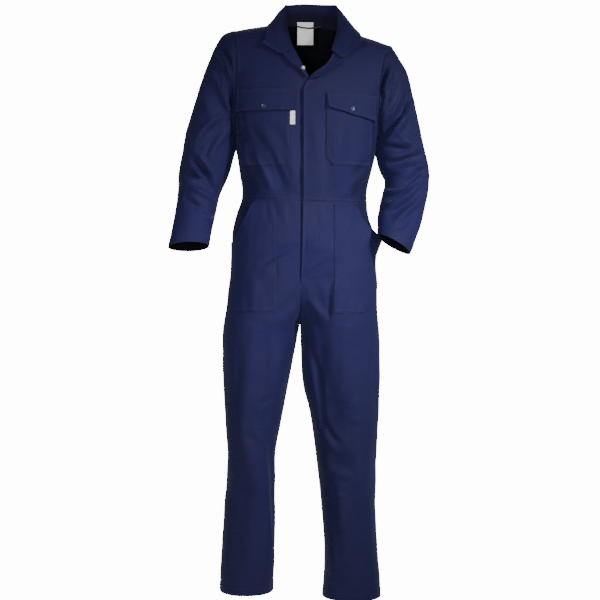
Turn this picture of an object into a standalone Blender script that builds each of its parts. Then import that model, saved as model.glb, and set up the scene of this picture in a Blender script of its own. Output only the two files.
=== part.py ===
"""A boiler suit: workwear in one piece, filled out as worn, with an open neck and turned lapels.

Lengths in the tables are millimetres. +X is the wearer's left, -Y the front and +Z up. The origin is
the middle of the shoulder line, where the garment is held. Every panel is a wall of cloth made from a
grid of points on the trunk, a leg or a sleeve, and h is the depth of a row below the shoulder line.
"""

import math

import bpy
import numpy as np
from mathutils import Vector
from mathutils.bvhtree import BVHTree

MM = 0.001
WALL = 1.6  # thickness of the cloth
SEAM = 0.2  # a panel's edge stays this far back from the seam line
LAID = 0.9  # gap under a piece that is laid on a panel
LEAST_GAP = 0.75  # and the least that is left over a ridge
PROBE = 10  # reach of the test for that gap, its rounds and the step it adds
CLEAR_ROUNDS = 14
CLEAR_STEP = 0.05
POCKET_WALL = 1.4
ROUNDNESS = 2.25  # power of the superellipse that the sections follow

ARMPIT_H = 286
WAIST_H = 465
FORK_H = 803
FORK_ROW = 12  # row of a trouser panel at the fork
ARMHOLE_STEPS = 12
NECK_HALF = 75
NECK_DROP_BACK = 25
TUCK = WALL + 1.3  # the right front runs this far under the left one, from here on
TUCK_X = -12
TUCK_H = 110
TUCK_BLEND_X = 20  # and reaches its full depth over this width
TUCK_BLEND_H = 30  # and height
TRUNK_COLS = 11
TRUNK_ROWS_BELOW = 7  # rows of the trunk from the armpit to the waist
LEG_COLS = 11
LEG_ROWS_BELOW_FORK = (822, 852)
LEG_ROWS_FROM = 890
LEG_ROWS_EVEN = 15
LEG_SPREAD_H = 650  # from here to the fork the inner columns draw together, by this power
LEG_SPREAD_POWER = 2
SHOULDER_FADE_H = 400  # the shoulder's slope has died out at this depth
SEAM_FADE_H = 130  # round the armhole, a wall turns to face down from here on, over the same height
SLEEVE_RINGS = 19
SLEEVE_BASE = (3, 58)  # the oval that a sleeve's armhole is set against: its y and half depth
FOLD_START_RINGS = 2  # folds of a sleeve grow over its first rings
PLACE_ROUNDS = 8  # rounds of the search for a place on a panel
SAMPLE_PARTS = 4  # a panel's cells are tested at this many places a side

NAVY = (0.030, 0.034, 0.105)
NAVY_LIGHT = (0.040, 0.044, 0.125)
METAL = (0.55, 0.56, 0.58)
WHITE = (0.80, 0.80, 0.78)
BLACK = (0.02, 0.02, 0.022)


def table(names, *rows):
    """A table with named columns, one row for each section."""
    return dict(zip(names.split(), np.array(rows, float).T))


TRUNK = table(
    "h centre half front back",
    (0, 24, 262, 0, 0),
    (8, 24, 262, 26, 30),
    (25, 22, 260, 48, 56),
    (60, 18, 250, 74, 86),
    (110, 15, 233, 97, 108),
    (170, 12, 220, 114, 122),
    (230, 11, 206, 123, 127),
    (286, 10, 191, 127, 126),
    (358, 7, 184, 126, 118),
    (407, 4, 175, 121, 109),
    (440, 4, 170, 116, 103),
    (465, 4, 170, 112, 100),
)
ARMHOLE = table("h edge", (0, 219), (15, 209), (35, 201), (70, 196), (120, 193), (200, 192), (286, 191))
# Rise of the first row above the shoulder line, by distance from its middle.
SHOULDER = table(
    "away front back",
    (0, 12, 42),
    (40, 12, 31),
    (75, 12, 12),
    (117, 0, 0),
    (165, -11, -11),
    (219, -25, -25),
    (262, -40, -40),
)
LEAN = table("h slope", (0, -0.094), (286, -0.060), (465, -0.045), (803, 0), (1600, 0))
# The free edge of each front: along the turned lapel, then down the closure.
FRONT_EDGE = {
    1: table(
        "h x", (0, 99), (35, 96), (72, 83), (106, 64), (140, 24), (152, 12), (170, 2), (185, 0), (465, 0)
    ),
    -1: table(
        "h x", (0, -51), (30, -45), (66, -27), (90, -14), (116, 0), (144, 16), (156, 28), (176, 40), (465, 42)
    ),
}
# Leg sections. Above the fork the inner side stops at the middle seam, whose place is in SEAM_X.
LEGS = {
    1: table(
        "h centre outer inner front back",
        (465, 4, 174, -166, 112, 100),
        (506, 8, 181, -164, 117, 112),
        (556, 14, 197, -158, 121, 128),
        (620, 28, 199, -140, 124, 140),
        (680, 50, 202, -104, 124, 143),
        (740, 72, 204, -56, 122, 138),
        (780, 90, 205, -20, 119, 130),
        (803, 99, 206, -8, 117, 126),
        (852, 103, 212, -6, 112, 118),
        (951, 105, 212, -2, 105, 108),
        (1050, 115, 210, 20, 97, 98),
        (1182, 120, 203, 38, 88, 86),
        (1314, 127, 202, 52, 80, 82),
        (1430, 134, 208, 60, 77, 82),
        (1560, 136, 217, 55, 76, 82),
    ),
    -1: table(
        "h centre outer inner front back",
        (465, 4, -166, 174, 112, 100),
        (506, 0, -181, 172, 117, 112),
        (556, -8, -193, 160, 121, 128),
        (620, -26, -195, 138, 124, 140),
        (680, -48, -199, 98, 124, 143),
        (740, -75, -207, 42, 122, 138),
        (780, -97, -214, 5, 119, 130),
        (803, -112, -218, -8, 117, 126),
        (852, -120, -222, -18, 112, 118),
        (951, -128, -220, -37, 105, 108),
        (1050, -135, -215, -56, 97, 98),
        (1182, -143, -209, -77, 88, 86),
        (1314, -148, -218, -78, 80, 82),
        (1430, -153, -226, -80, 77, 82),
        (1545, -157, -231, -83, 76, 82),
    ),
}
SEAM_X = table("h x", (465, 0), (600, -2), (803, -8), (1600, -8))
# Rings of a sleeve after the armhole: outer and inner edge, centre and half depth front to back,
# tilt of the ring in degrees, and how much of the armhole's own shape is left in it.
SLEEVES = {
    -1: table(
        "out_x out_z in_x in_z y depth tilt armhole",
        (-217, -14, -185, -284, 3, 62, 0, 0.80),
        (-238, -44, -186, -290, 3, 66, 0, 0.55),
        (-253, -77, -187, -296, 3, 68, 0, 0.35),
        (-278, -143, -188, -309, 4, 70, 0, 0.12),
        (-300, -209, -189, -328, 5, 70, 0, 0),
        (-319, -275, -192, -352, 6, 68, 0, 0),
        (-333, -341, -202, -390, 6, 65, 3, 0),
        (-341, -395, -214, -420, 3, 62, 6, 0),
        (-342, -440, -227, -450, -4, 60, 10, 0),
        (-349, -489, -236, -489, -16, 56, 12, 0),
        (-357, -540, -246, -537, -32, 51, 14, 0),
        (-366, -591, -256, -587, -48, 46, 18, 0),
    ),
    1: table(
        "out_x out_z in_x in_z y depth tilt armhole",
        (261, -77, 205, -307, 3, 62, 0, 0.80),
        (281, -110, 205, -312, 3, 66, 0, 0.55),
        (293, -143, 205, -317, 3, 68, 0, 0.35),
        (308, -209, 204, -327, 3, 70, 0, 0.12),
        (322, -275, 203, -342, 3, 70, 0, 0),
        (338, -341, 204, -364, 3, 68, 0, 0),
        (347, -390, 214, -392, 0, 64, 4, 0),
        (344, -428, 224, -414, -8, 61, 8, 0),
        (339, -458, 216, -445, -20, 59, 12, 0),
        (329, -499, 208, -480, -36, 56, 14, 0),
        (312, -554, 201, -520, -58, 51, 14, 0),
        (289, -607, 200, -556, -80, 47, 14, 0),
    ),
}
# Half of the collar, from the middle back (0) to its front end (1): roll line, middle of the fall and
# its edge, with x measured from the middle of the neck. The drops are slopes down to the wearer's left.
COLLAR = table(
    "t roll_x roll_y roll_z mid_x mid_y mid_z edge_x edge_y edge_z edge_drop",
    (0.00, 0, 60, 78, 0, 71, 52, 0, 80, 2, 0.06),
    (0.22, 44, 52, 78, 54, 60, 50, 66, 65, 4, 0.06),
    (0.42, 66, 30, 76, 81, 36, 54, 104, 40, 11, 0.06),
    (0.60, 70, 2, 52, 92, 0, 40, 121, -2, 9, 0.06),
    (0.80, 67, -40, 4, 94, -48, -2, 131, -50, -23, 0.04),
    (1.00, 51, -87, -61, 80, -97, -80, 138, -76, -45, -0.02),
)
COLLAR_STATIONS = 27
LAPEL_ROWS = 7
COLLAR_END_H = 62
COLLAR_TURN = 3.0  # the roll line turns over about this radius
COLLAR_DROP = 0.06  # the same for its roll line and the middle of its fall
COLLAR_INSET = 5.4  # the foot of the stand is this far inside the neck seam
NECK_X = 24.6
NECK_MIDDLE_Y = -8

# Pieces laid on a panel, seen from the front: (x, z) of their top corners, then of their bottom ones.
PATCHES = {
    "chest_pocket_right": ((-172, -172), (-36, -172), (-166, -370), (-36, -370)),
    "chest_pocket_left": ((63, -183), (189, -190), (63, -370), (178, -372)),
    "pocket_flap_right": ((-174, -168), (-22, -168), (-174, -226), (-22, -226)),
    "pocket_flap_left": ((64, -180), (195, -186), (64, -218), (190, -252)),
    "placket": ((2, -172), (58, -174), (1, -462), (58, -464)),
    "tab_label": ((-34, -228), (-21, -228), (-34, -264), (-21, -264)),
    "rule_pocket": ((-200, -716), (-112, -716), (-203, -905), (-118, -905)),
}
# Rows and columns of each laid piece.
PATCH_GRIDS = {
    "chest_pocket": (9, 10),
    "pocket_flap": (4, 11),
    "placket": (13, 4),
    "tab_label": (3, 2),
    "rule_pocket": (10, 8),
    "hip_pocket": (11, 11),
}
CUT_CORNER = ((63, -346), (80, -369))  # the lower inner corner of the left chest pocket
FLAP_LIFT = ((0, 1.5, 4, 7), (0, 0.5, 1.5, 2.5))  # how far its flap's inner end stands off
# Roll line and outer edge of each turned front, from its top down.
LAPELS = {
    "lapel_right": (
        table("x z", (-29, -63), (-16, -86), (-2, -111), (12, -136)),
        table("x z", (-53, -80), (-32, -104), (-11, -122), (8, -143)),
    ),
    "lapel_left": (
        table("x z", (84, -70), (66, -101), (43, -120), (24, -136)),
        table("x z", (109, -98), (76, -120), (50, -138), (18, -147)),
    ),
}
LAPEL_LIFT = (0.2, 1.2, 2.2, 3.2)  # from the roll line to the edge
# Patch pockets with slanted mouths: the mouth starts at mouth_x on the waist seam and meets the side
# seam at side_z. corner is where the bottom edge ends.
HIP_POCKETS = {
    1: {"inner": 84, "mouth_x": 136, "side_z": -567, "bottom": -764, "corner": 163},
    -1: {"inner": -70, "mouth_x": -125, "side_z": -590, "bottom": -760, "corner": -198},
}
HIP_BELOW_SEAM = 6
HIP_EDGE = 3
HIP_ROUND_FROM = 0.6  # share of its depth from which the outer edge curves in to the corner
HIP_ROUND_OVER = 0.8  # and the share over which that curve would level out
HIP_GAPE = 5
POUCH = (190, -566)  # the left hip pocket's mouth stands out sideways most at this (x, z)
POUCH_OUT = 19
POUCH_REACH = 36
RULE_GAPE = 5

# Round press studs: place, radius and height. The gap lies under each of them.
STUDS = {
    "flap_stud_right": (-104, -215, 6.5, 2.0),
    "flap_stud_left": (133, -222, 6.5, 2.0),
    "placket_stud": (16, -362, 3.5, 1.2),
    "neck_stud": (0, -115, 6.0, 3.0),
}
STUD_GAP = 0.7
STUD_SIDES = 14
STUD_PROFILE = table("radius height", (0.55, 1), (0.7, 0.75), (0.85, 1), (1, 0.7), (1, 0))

LABEL_X = NECK_X - 18
LABEL_HALF = 22
LABEL_TOP = 26
LABEL_FOOT = -36
LABEL_WALL = 1.0
LABEL_GRID = (5, 3)
LABEL_Y = 45.5
NECK_CURVE = 0.0035  # the back neck curves forward by this times the square of the distance
LOOP_X = LABEL_X + 10
LOOP_HALF = 34
LOOP_TOP = 17
LOOP_WIDTH = 4
LOOP_SAG = 5
LOOP_WALL = 1.2
LOOP_STATIONS = 9
LOOP_STAND = 1.5  # it hangs this far in front of the label

# Largest folds: a line from (x0, z0) to (x1, z1) seen from the front, with its width and height.
FOLD_NAMES = "x0 z0 x1 z1 width height"
FRONT_FOLDS = table(
    FOLD_NAMES,
    (-75, -455, -130, -385, 24, 5),
    (-45, -450, -70, -385, 22, -5),
    (110, -380, 150, -440, 24, 4),
    (-170, -860, -160, -1250, 26, 11),
    (-80, -850, -115, -1080, 26, 9),
    (-150, -1100, -95, -1330, 24, 11),
    (-185, -1250, -190, -1500, 26, -8),
    (-95, -1330, -105, -1530, 22, 9),
    (135, -880, 155, -1300, 28, 11),
    (45, -880, 85, -1130, 24, -8),
    (60, -1080, 150, -1150, 22, 8),
    (150, -1120, 80, -1190, 22, -9),
    (110, -1200, 95, -1500, 26, 10),
    (175, -1250, 180, -1480, 24, -8),
)
BACK_FOLDS = table(
    FOLD_NAMES,
    (-130, -150, -60, -400, 34, 9),
    (150, -160, 70, -400, 34, 9),
    (20, -300, 20, -450, 30, -8),
    (-165, -930, -60, -860, 30, -8),
    (150, -800, 50, -900, 34, -9),
    (-150, -1000, -150, -1400, 30, 10),
    (140, -1000, 150, -1400, 30, 10),
    (-90, -1150, -190, -1210, 26, -8),
    (180, -1150, 70, -1210, 26, -8),
    (-110, -1250, -100, -1500, 26, 8),
    (100, -1250, 95, -1500, 26, 8),
)
SLEEVE_FOLDS = {
    -1: table(
        FOLD_NAMES,
        (-225, -50, -192, -230, 16, 9),
        (-236, -110, -200, -260, 16, -9),
        (-300, -240, -240, -370, 22, 7),
        (-332, -370, -235, -400, 14, -8),
        (-330, -410, -240, -385, 14, 7),
    ),
    1: table(
        FOLD_NAMES,
        (250, -110, 218, -260, 16, 9),
        (275, -150, 222, -290, 16, -9),
        (300, -220, 225, -330, 20, 8),
        (335, -385, 250, -350, 16, -8),
        (330, -410, 235, -440, 16, 8),
        (318, -470, 230, -520, 16, -7),
    ),
}


def curve(x, y, at):
    """Values on a smooth line through (x, y) that never overshoots its points."""
    at = np.clip(np.asarray(at, float), x[0], x[-1])
    step = np.diff(x)
    slope = np.diff(y) / step
    before, after = slope[:-1], slope[1:]
    same_way = before * after > 0
    weight = (step[1:] + 2 * step[:-1], 2 * step[1:] + step[:-1])
    safe = np.where(same_way, before, 1), np.where(same_way, after, 1)
    mean = (weight[0] + weight[1]) / (weight[1] / safe[0] + weight[0] / safe[1])
    tangent = np.concatenate([slope[:1], np.where(same_way, mean, 0), slope[-1:]])
    i = np.clip(np.searchsorted(x, at, side="right") - 1, 0, len(x) - 2)
    t = (at - x[i]) / step[i]
    return (
        y[i] * (1 + 2 * t) * (1 - t) ** 2
        + tangent[i] * step[i] * t * (1 - t) ** 2
        + y[i + 1] * t**2 * (3 - 2 * t)
        + tangent[i + 1] * step[i] * t**2 * (t - 1)
    )


def read(rows, name, at):
    """A column of a table, read smoothly at any value of its first column."""
    return curve(next(iter(rows.values())), rows[name], at)


def smoothstep(t):
    t = np.clip(t, 0, 1)
    return t * t * (3 - 2 * t)


def unit(vectors):
    return vectors / np.linalg.norm(vectors, axis=-1, keepdims=True)


def power_sin(angle):
    return np.sign(np.sin(angle)) * np.abs(np.sin(angle)) ** (2 / ROUNDNESS)


def power_cos(angle):
    return np.abs(np.cos(angle)) ** (2 / ROUNDNESS)


def angle_at(share):
    """The angle at which a section is this share of its half width away from its middle."""
    share = np.clip(share, -1, 1)
    return np.sign(share) * np.arcsin(np.abs(share) ** (ROUNDNESS / 2))


def trunk(face, h, angle):
    """A point of the trunk, h below the shoulder line: angle 0 is the middle, 90 degrees the side."""
    centre = read(TRUNK, "centre", h)
    away = read(TRUNK, "half", h) * power_sin(angle)
    y = read(TRUNK, face, h) * power_cos(angle) * (-1 if face == "front" else 1)
    rise = read(SHOULDER, face, np.abs(away)) * (1 - smoothstep(h / SHOULDER_FADE_H))
    z = -h + rise + read(LEAN, "slope", h) * away
    return np.stack([centre + away, y, z], axis=-1)


def leg(side, face, h, angle):
    """A point of a trouser leg: angle -90 degrees is the inner seam, 90 the outer one."""
    rows = LEGS[side]
    centre = read(rows, "centre", h)
    out = np.abs(read(rows, "outer", h) - centre)
    inn = np.abs(read(rows, "inner", h) - centre)
    away = np.where(angle < 0, inn, out) * power_sin(angle)
    y = read(rows, face, h) * power_cos(angle) * (-1 if face == "front" else 1)
    x = centre + side * away
    return np.stack([x, y, -h + read(LEAN, "slope", h) * (x - TRUNK["centre"][-1])], axis=-1)


def ridge(points, folds):
    """Height of the folds at points seen from the front."""
    total = np.zeros(points.shape[:-1])
    for x0, z0, x1, z1, width, height in zip(*folds.values()):
        start, run = np.array([x0, z0]), np.array([x1 - x0, z1 - z0])
        offset = points[..., [0, 2]] - start
        t = np.clip(offset @ run / (run @ run), 0, 1)
        away = np.linalg.norm(offset - t[..., None] * run, axis=-1)
        total += height * np.exp(-((away / width) ** 2)) * np.sin(math.pi * t) ** 0.5
    return total


def normals_of(grid, ring):
    """Unit normals of a grid of points, all to the same side of it."""
    padded = np.concatenate([grid[:, -1:], grid, grid[:, :1]], axis=1) if ring else grid
    across = np.gradient(padded, axis=1)
    across = across[:, 1:-1] if ring else across
    normals = np.cross(across, np.gradient(grid, axis=0))
    return unit(normals)


def outward(normals, out):
    """Normals on the side that out points to."""
    return normals if np.sum(normals * out) > 0 else -normals


def without(normals, direction):
    """Normals turned square to a seam, so that two walls meet there face to face."""
    direction = np.asarray(direction, float)
    return unit(normals - (normals @ direction)[..., None] * direction)


def pull_back(grid, rows, cols):
    """Draws the named edges back from their seam lines."""
    moved = grid.copy()
    for row in rows:
        step = 1 if row == 0 else -1
        moved[row] += SEAM * unit(grid[row + step] - grid[row])
    for col in cols:
        step = 1 if col == 0 else -1
        moved[:, col] += SEAM * unit(grid[:, col + step] - grid[:, col])
    return moved


def wall_faces(rows, cols, ring):
    """Faces of a wall between an outer and an inner grid, with its rims."""
    count = rows * cols
    faces = []
    for r in range(rows - 1):
        for c in range(cols if ring else cols - 1):
            d = (c + 1) % cols
            a, b = r * cols + c, r * cols + d
            f, e = a + cols, b + cols
            faces += [(a, b, e, f), (count + f, count + e, count + b, count + a)]
            if r == 0:
                faces.append((b, a, count + a, count + b))
            if r == rows - 2:
                faces.append((f, e, count + e, count + f))
            if not ring and c == 0:
                faces.append((a, f, count + f, count + a))
            if not ring and c == cols - 2:
                faces.append((e, b, count + b, count + e))
    return faces


def add_piece(name, points, faces, material):
    """One named object with its faces pointing out."""
    volume = sum(np.linalg.det(points[[f[0], f[i], f[i + 1]]]) for f in faces for i in range(1, len(f) - 1))
    if volume < 0:
        faces = [f[::-1] for f in faces]
    mesh = bpy.data.meshes.new(name)
    mesh.from_pydata((points * MM).tolist(), [], faces)
    mesh.materials.append(material)
    mesh.shade_smooth()
    mesh.set_sharp_from_angle(angle=math.radians(45))
    bpy.context.scene.collection.objects.link(bpy.data.objects.new(name, mesh))


def add_wall(name, outer, inner, material, ring=False):
    rows, cols = outer.shape[:2]
    points = np.concatenate([outer.reshape(-1, 3), inner.reshape(-1, 3)])
    add_piece(name, points, wall_faces(rows, cols, ring), material)


def material(name, colour, roughness, metallic=0.0):
    made = bpy.data.materials.new(name)
    made.use_nodes = True
    shader = made.node_tree.nodes["Principled BSDF"]
    shader.inputs["Base Color"].default_value = (*colour, 1)
    shader.inputs["Roughness"].default_value = roughness
    shader.inputs["Metallic"].default_value = metallic
    return made


class Panel:
    """A cloth panel: its grid of outer points, and the normals by which its wall gets its thickness."""

    def __init__(self, grid, out, folds=None):
        normals = outward(normals_of(grid, False), out)
        if folds is not None:
            inside = np.zeros(grid.shape[:2])
            inside[1:-1, 1:-1] = 1
            grid = grid + (ridge(grid, folds) * inside)[..., None] * normals
            normals = outward(normals_of(grid, False), out)
        self.grid, self.normals = grid, normals

    def place(self, row, col):
        """Point and normal between the grid's own points."""
        rows, cols = self.grid.shape[:2]
        r = min(int(row), rows - 2)
        c = min(int(col), cols - 2)
        u, v = row - r, col - c
        found = []
        for source in (self.grid, self.normals):
            near = source[r, c] * (1 - v) + source[r, c + 1] * v
            far = source[r + 1, c] * (1 - v) + source[r + 1, c + 1] * v
            found.append(near * (1 - u) + far * u)
        return found[0], found[1] / np.linalg.norm(found[1])

    def locate(self, x, z):
        """Row and column at which the panel, seen from the front, is at (x, z)."""
        rows, cols = self.grid.shape[:2]
        row, col = rows / 2, cols / 2
        for _ in range(PLACE_ROUNDS):
            c = int(min(max(col, 0), cols - 1.001))
            line = self.grid[:, c, 2] * (1 - (col - c)) + self.grid[:, c + 1, 2] * (col - c)
            row = float(np.interp(-z, -line, np.arange(rows)))
            r = int(min(max(row, 0), rows - 1.001))
            line = self.grid[r, :, 0] * (1 - (row - r)) + self.grid[r + 1, :, 0] * (row - r)
            turn = 1 if line[-1] > line[0] else -1
            col = float(np.interp(turn * x, turn * line, np.arange(cols)))
        return row, col

    def samples(self):
        """Points and normals at the corners and at even steps between them."""
        rows, cols = (SAMPLE_PARTS * (count - 1) + 1 for count in self.grid.shape[:2])
        return [self.place(r / SAMPLE_PARTS, c / SAMPLE_PARTS) for r in range(rows) for c in range(cols)]


def clear_of(grid, normals, below):
    """A laid grid, raised until it clears every corner of the panels below it."""
    rows, cols = grid.shape[:2]
    corner = [r * cols + c for r in range(rows - 1) for c in range(cols - 1)]
    quads = [(a, a + 1, a + cols + 1, a + cols) for a in corner]
    for _ in range(CLEAR_ROUNDS):
        tree = BVHTree.FromPolygons([Vector(p) for p in grid.reshape(-1, 3)], quads)
        rise = np.zeros(rows * cols)
        for panel in below:
            for point, normal in panel.samples():
                start = Vector(point - PROBE * normal)
                face, reach = tree.ray_cast(start, Vector(normal), 2 * PROBE)[2:]
                if face is not None and reach - PROBE < LEAST_GAP:
                    corners = list(quads[face])
                    rise[corners] = np.maximum(rise[corners], LEAST_GAP + CLEAR_STEP - (reach - PROBE))
        if not rise.any():
            break
        grid = grid + rise.reshape(rows, cols, 1) * normals
    return grid


def lay(name, panel, outline, cloth, gap=LAID, wall=POCKET_WALL, lift=0, aside=0, over=()):
    """A piece laid on a panel, and over other laid pieces: outline is a grid of (x, z), lift is how far
    it stands off the panel, and aside how far it is moved towards the wearer's left."""
    lift = np.broadcast_to(lift, outline.shape[:2])
    aside = np.broadcast_to(aside, outline.shape[:2])
    inner, normals = np.zeros((2, *outline.shape[:2], 3))
    for i, j in np.ndindex(outline.shape[:2]):
        point, normals[i, j] = panel.place(*panel.locate(*outline[i, j]))
        inner[i, j] = point + (gap + lift[i, j]) * normals[i, j] + (aside[i, j], 0, 0)
    inner = clear_of(inner, normals, (panel, *over))
    outer = inner + wall * normals
    add_wall(name, outer, inner, cloth)
    return Panel(outer, normals)


def patch(name, kind):
    """A grid of (x, z) between the four corners of a laid piece."""
    rows, cols = PATCH_GRIDS[kind]
    top_start, top_end, foot_start, foot_end = np.array(PATCHES[name], float)
    along = np.linspace(0, 1, cols)[:, None]
    down = np.linspace(0, 1, rows)[:, None, None]
    top = top_start + (top_end - top_start) * along
    foot = foot_start + (foot_end - foot_start) * along
    return top + (foot - top) * down


def armhole_rows():
    """Depths of the rows that end on the armhole, close together where it turns."""
    k = np.arange(ARMHOLE_STEPS + 1)
    return ARMPIT_H * (1 - np.cos(math.pi * k / ARMHOLE_STEPS)) / 2


def trunk_rows():
    return np.concatenate([armhole_rows(), np.linspace(ARMPIT_H, WAIST_H, TRUNK_ROWS_BELOW)[1:]])


def side_angle(h):
    """Angle of the armhole edge, or of the side seam below the armpit."""
    share = np.where(h < ARMPIT_H, read(ARMHOLE, "edge", h) / read(TRUNK, "half", h), 1)
    return angle_at(share)


def front_panel(side):
    """One upper front, from its free edge to the armhole and the side seam."""
    h = trunk_rows()
    edge = read(FRONT_EDGE[side], "x", h) - read(TRUNK, "centre", h)
    start = angle_at(edge / read(TRUNK, "half", h))
    end = side * side_angle(h)
    share = np.linspace(0, 1, TRUNK_COLS)
    angle = start[:, None] + (end - start)[:, None] * share
    grid = trunk("front", np.broadcast_to(h[:, None], angle.shape), angle)
    if side < 0:
        under = smoothstep((grid[..., 0] - TUCK_X) / TUCK_BLEND_X)
        under = under * smoothstep((h[:, None] - TUCK_H) / TUCK_BLEND_H)
        grid[..., 1] += TUCK * under
    return Panel(grid, np.array([0, -1, 0]), FRONT_FOLDS)


def back_panel():
    """The upper back, whose top edge is the two shoulder seams and the neck between them."""
    h = trunk_rows()
    share = np.linspace(-1, 1, 2 * TRUNK_COLS - 1)
    neck = NECK_HALF / ARMHOLE["edge"][0]
    drop = NECK_DROP_BACK * smoothstep(1 - np.abs(share) / neck)
    depth = drop + h[:, None] * (1 - drop / WAIST_H)
    angle = side_angle(h)[:, None] * share
    return Panel(trunk("back", depth, angle), np.array([0, 1, 0]), BACK_FOLDS)


def leg_rows(side):
    """Rows of a trouser panel, closer together at the fork."""
    hem = LEGS[side]["h"][-1]
    rise = WAIST_H + (FORK_H - WAIST_H) * np.sin(np.arange(FORK_ROW + 1) / FORK_ROW * math.pi / 2)
    return np.concatenate([rise, LEG_ROWS_BELOW_FORK, np.linspace(LEG_ROWS_FROM, hem, LEG_ROWS_EVEN)])


def inner_angle(side, h):
    """Angle at which a trouser panel ends: on the middle seam, or on the inner leg seam."""
    rows = LEGS[side]
    centre = read(rows, "centre", h)
    away = side * (read(SEAM_X, "x", h) - centre)
    inner, outer = (np.abs(read(rows, edge, h) - centre) for edge in ("inner", "outer"))
    half = np.where(away < 0, inner, outer)
    return np.where(h < FORK_H, angle_at(away / half), -math.pi / 2)


def leg_panel(side, face):
    h = leg_rows(side)
    start = inner_angle(side, h)
    # Above the fork the columns make room for the middle seam, and close to it only the inner ones do.
    share = np.linspace(0, 1, LEG_COLS)
    power = 1 + LEG_SPREAD_POWER * smoothstep((h - LEG_SPREAD_H) / (FORK_H - LEG_SPREAD_H))
    angle = math.pi * (share - 0.5) + (start + math.pi / 2)[:, None] * (1 - share) ** power[:, None]
    grid = leg(side, face, np.broadcast_to(h[:, None], angle.shape), angle)
    out = np.array([0, -1 if face == "front" else 1, 0])
    return Panel(grid, out, FRONT_FOLDS if face == "front" else BACK_FOLDS)


def add_trunk_panel(name, panel, cloth, cols):
    """Wall of an upper panel. cols are its edges at the side seams."""
    grid = pull_back(panel.grid, (0, -1), cols)
    normals = panel.normals.copy()
    normals[-1] = without(normals[-1], (0, 0, 1))
    top = without(normals[0], (0, 1, 0))
    seam = np.abs(panel.grid[0, :, 1]) < 1
    normals[0] = np.where(seam[:, None], top, normals[0])
    for col in cols:
        normals[ARMHOLE_STEPS:, col] = without(normals[ARMHOLE_STEPS:, col], (0, 1, 0))
    add_wall(name, grid, grid - WALL * normals, cloth)


def add_leg_panel(name, panel, cloth):
    grid = pull_back(panel.grid, (0,), (0, -1))
    normals = panel.normals.copy()
    normals[0] = without(normals[0], (0, 0, 1))
    normals[FORK_ROW:, 0] = without(normals[FORK_ROW:, 0], (0, 1, 0))
    normals[:, -1] = without(normals[:, -1], (0, 1, 0))
    add_wall(name, grid, grid - WALL * normals, cloth)


def armhole_ring(front, back, back_col):
    """Points and normals round an armhole: over the shoulder, down the front and up the back."""
    rows = np.arange(ARMHOLE_STEPS + 1)
    points = np.concatenate([front.grid[rows, -1], back.grid[rows[-2:0:-1], back_col]])
    normals = np.concatenate([front.normals[rows, -1], back.normals[rows[-2:0:-1], back_col]])
    normals[0] = without(normals[0], (0, 1, 0))
    low = smoothstep((points[0, 2] - points[:, 2]) / SEAM_FADE_H - 1)[:, None]
    down = np.array([0, 0, -1.0])
    return points, unit(normals * (1 - low) + down * low)


def sleeve_rings(side, count):
    """Ring values read at evenly spaced places along the sleeve."""
    rows = SLEEVES[side]
    known = np.arange(len(rows["out_x"]), dtype=float)
    places = np.linspace(0, known[-1], count)
    return [{name: float(curve(known, column, at)) for name, column in rows.items()} for at in places]


def sleeve_points(side, hole):
    """Grid of a sleeve: a row for each ring, a column for each place round the arm."""
    around = np.arange(2 * ARMHOLE_STEPS) * math.pi / ARMHOLE_STEPS
    start, under = hole[0], hole[ARMHOLE_STEPS]

    def oval(out, inn, y, depth, tilt):
        middle = (out + inn) / 2 + (0, y, 0)
        forward = depth * np.array([0, -math.cos(tilt), math.sin(tilt)])
        return middle + np.cos(around)[:, None] * (out - inn) / 2 + np.sin(around)[:, None] * forward

    flat = np.array([1, 0, 1])
    base = oval(start * flat, under * flat, *SLEEVE_BASE, 0)
    grid = [hole]
    for ring in sleeve_rings(side, SLEEVE_RINGS):
        out = np.array([ring["out_x"], 0, ring["out_z"]])
        inn = np.array([ring["in_x"], 0, ring["in_z"]])
        made = oval(out, inn, ring["y"], ring["depth"], math.radians(ring["tilt"]))
        grid.append(made + ring["armhole"] * (hole - base))
    return np.array(grid)


def sleeve_normals(grid, side):
    """Normals of a sleeve, whose first column runs down its outer side."""
    normals = normals_of(grid, True)
    return normals if side * np.sum(normals[:, 0, 0]) > 0 else -normals


def add_sleeve(name, side, front, back, cloth):
    hole, hole_normals = armhole_ring(front, back, -1 if side > 0 else 0)
    grid = sleeve_points(side, hole)
    normals = sleeve_normals(grid, side)
    inside = np.clip(np.arange(len(grid)) / FOLD_START_RINGS, 0, 1)
    inside[-1] = 0
    facing = smoothstep(0.5 - normals[..., 1])
    folded = ridge(grid, SLEEVE_FOLDS[side]) * inside[:, None] * facing
    grid = grid + folded[..., None] * normals
    normals = sleeve_normals(grid, side)
    normals[0] = hole_normals
    grid = pull_back(grid, (0,), ())
    add_wall(name, grid, grid - WALL * normals, cloth, ring=True)


def spline_through(points, count):
    """Smooth rows of points through the given ones, evenly spaced by length."""
    points = np.asarray(points, float)
    length = np.concatenate([[0], np.cumsum(np.linalg.norm(np.diff(points, axis=0), axis=1))])
    at = np.linspace(0, length[-1], count)
    return np.stack([curve(length, points[:, k], at) for k in range(points.shape[1])], axis=1)


def neck_line(left, right, back):
    """The neck seam from the end of the collar on the right front, round the back, to the left front."""
    h = trunk_rows()
    rows = [i for i in range(len(h)) if 0 < h[i] < COLLAR_END_H]
    share = np.linspace(-1, 1, 2 * TRUNK_COLS - 1)
    cols = [i for i in range(len(share)) if abs(share[i]) < NECK_HALF / ARMHOLE["edge"][0]]
    right_side = [right.grid[rows[::-1], 0], right.grid[:1, 0]]
    left_side = [left.grid[:1, 0], left.grid[rows, 0]]
    return np.concatenate([*right_side, back.grid[0, cols], *left_side])


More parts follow.
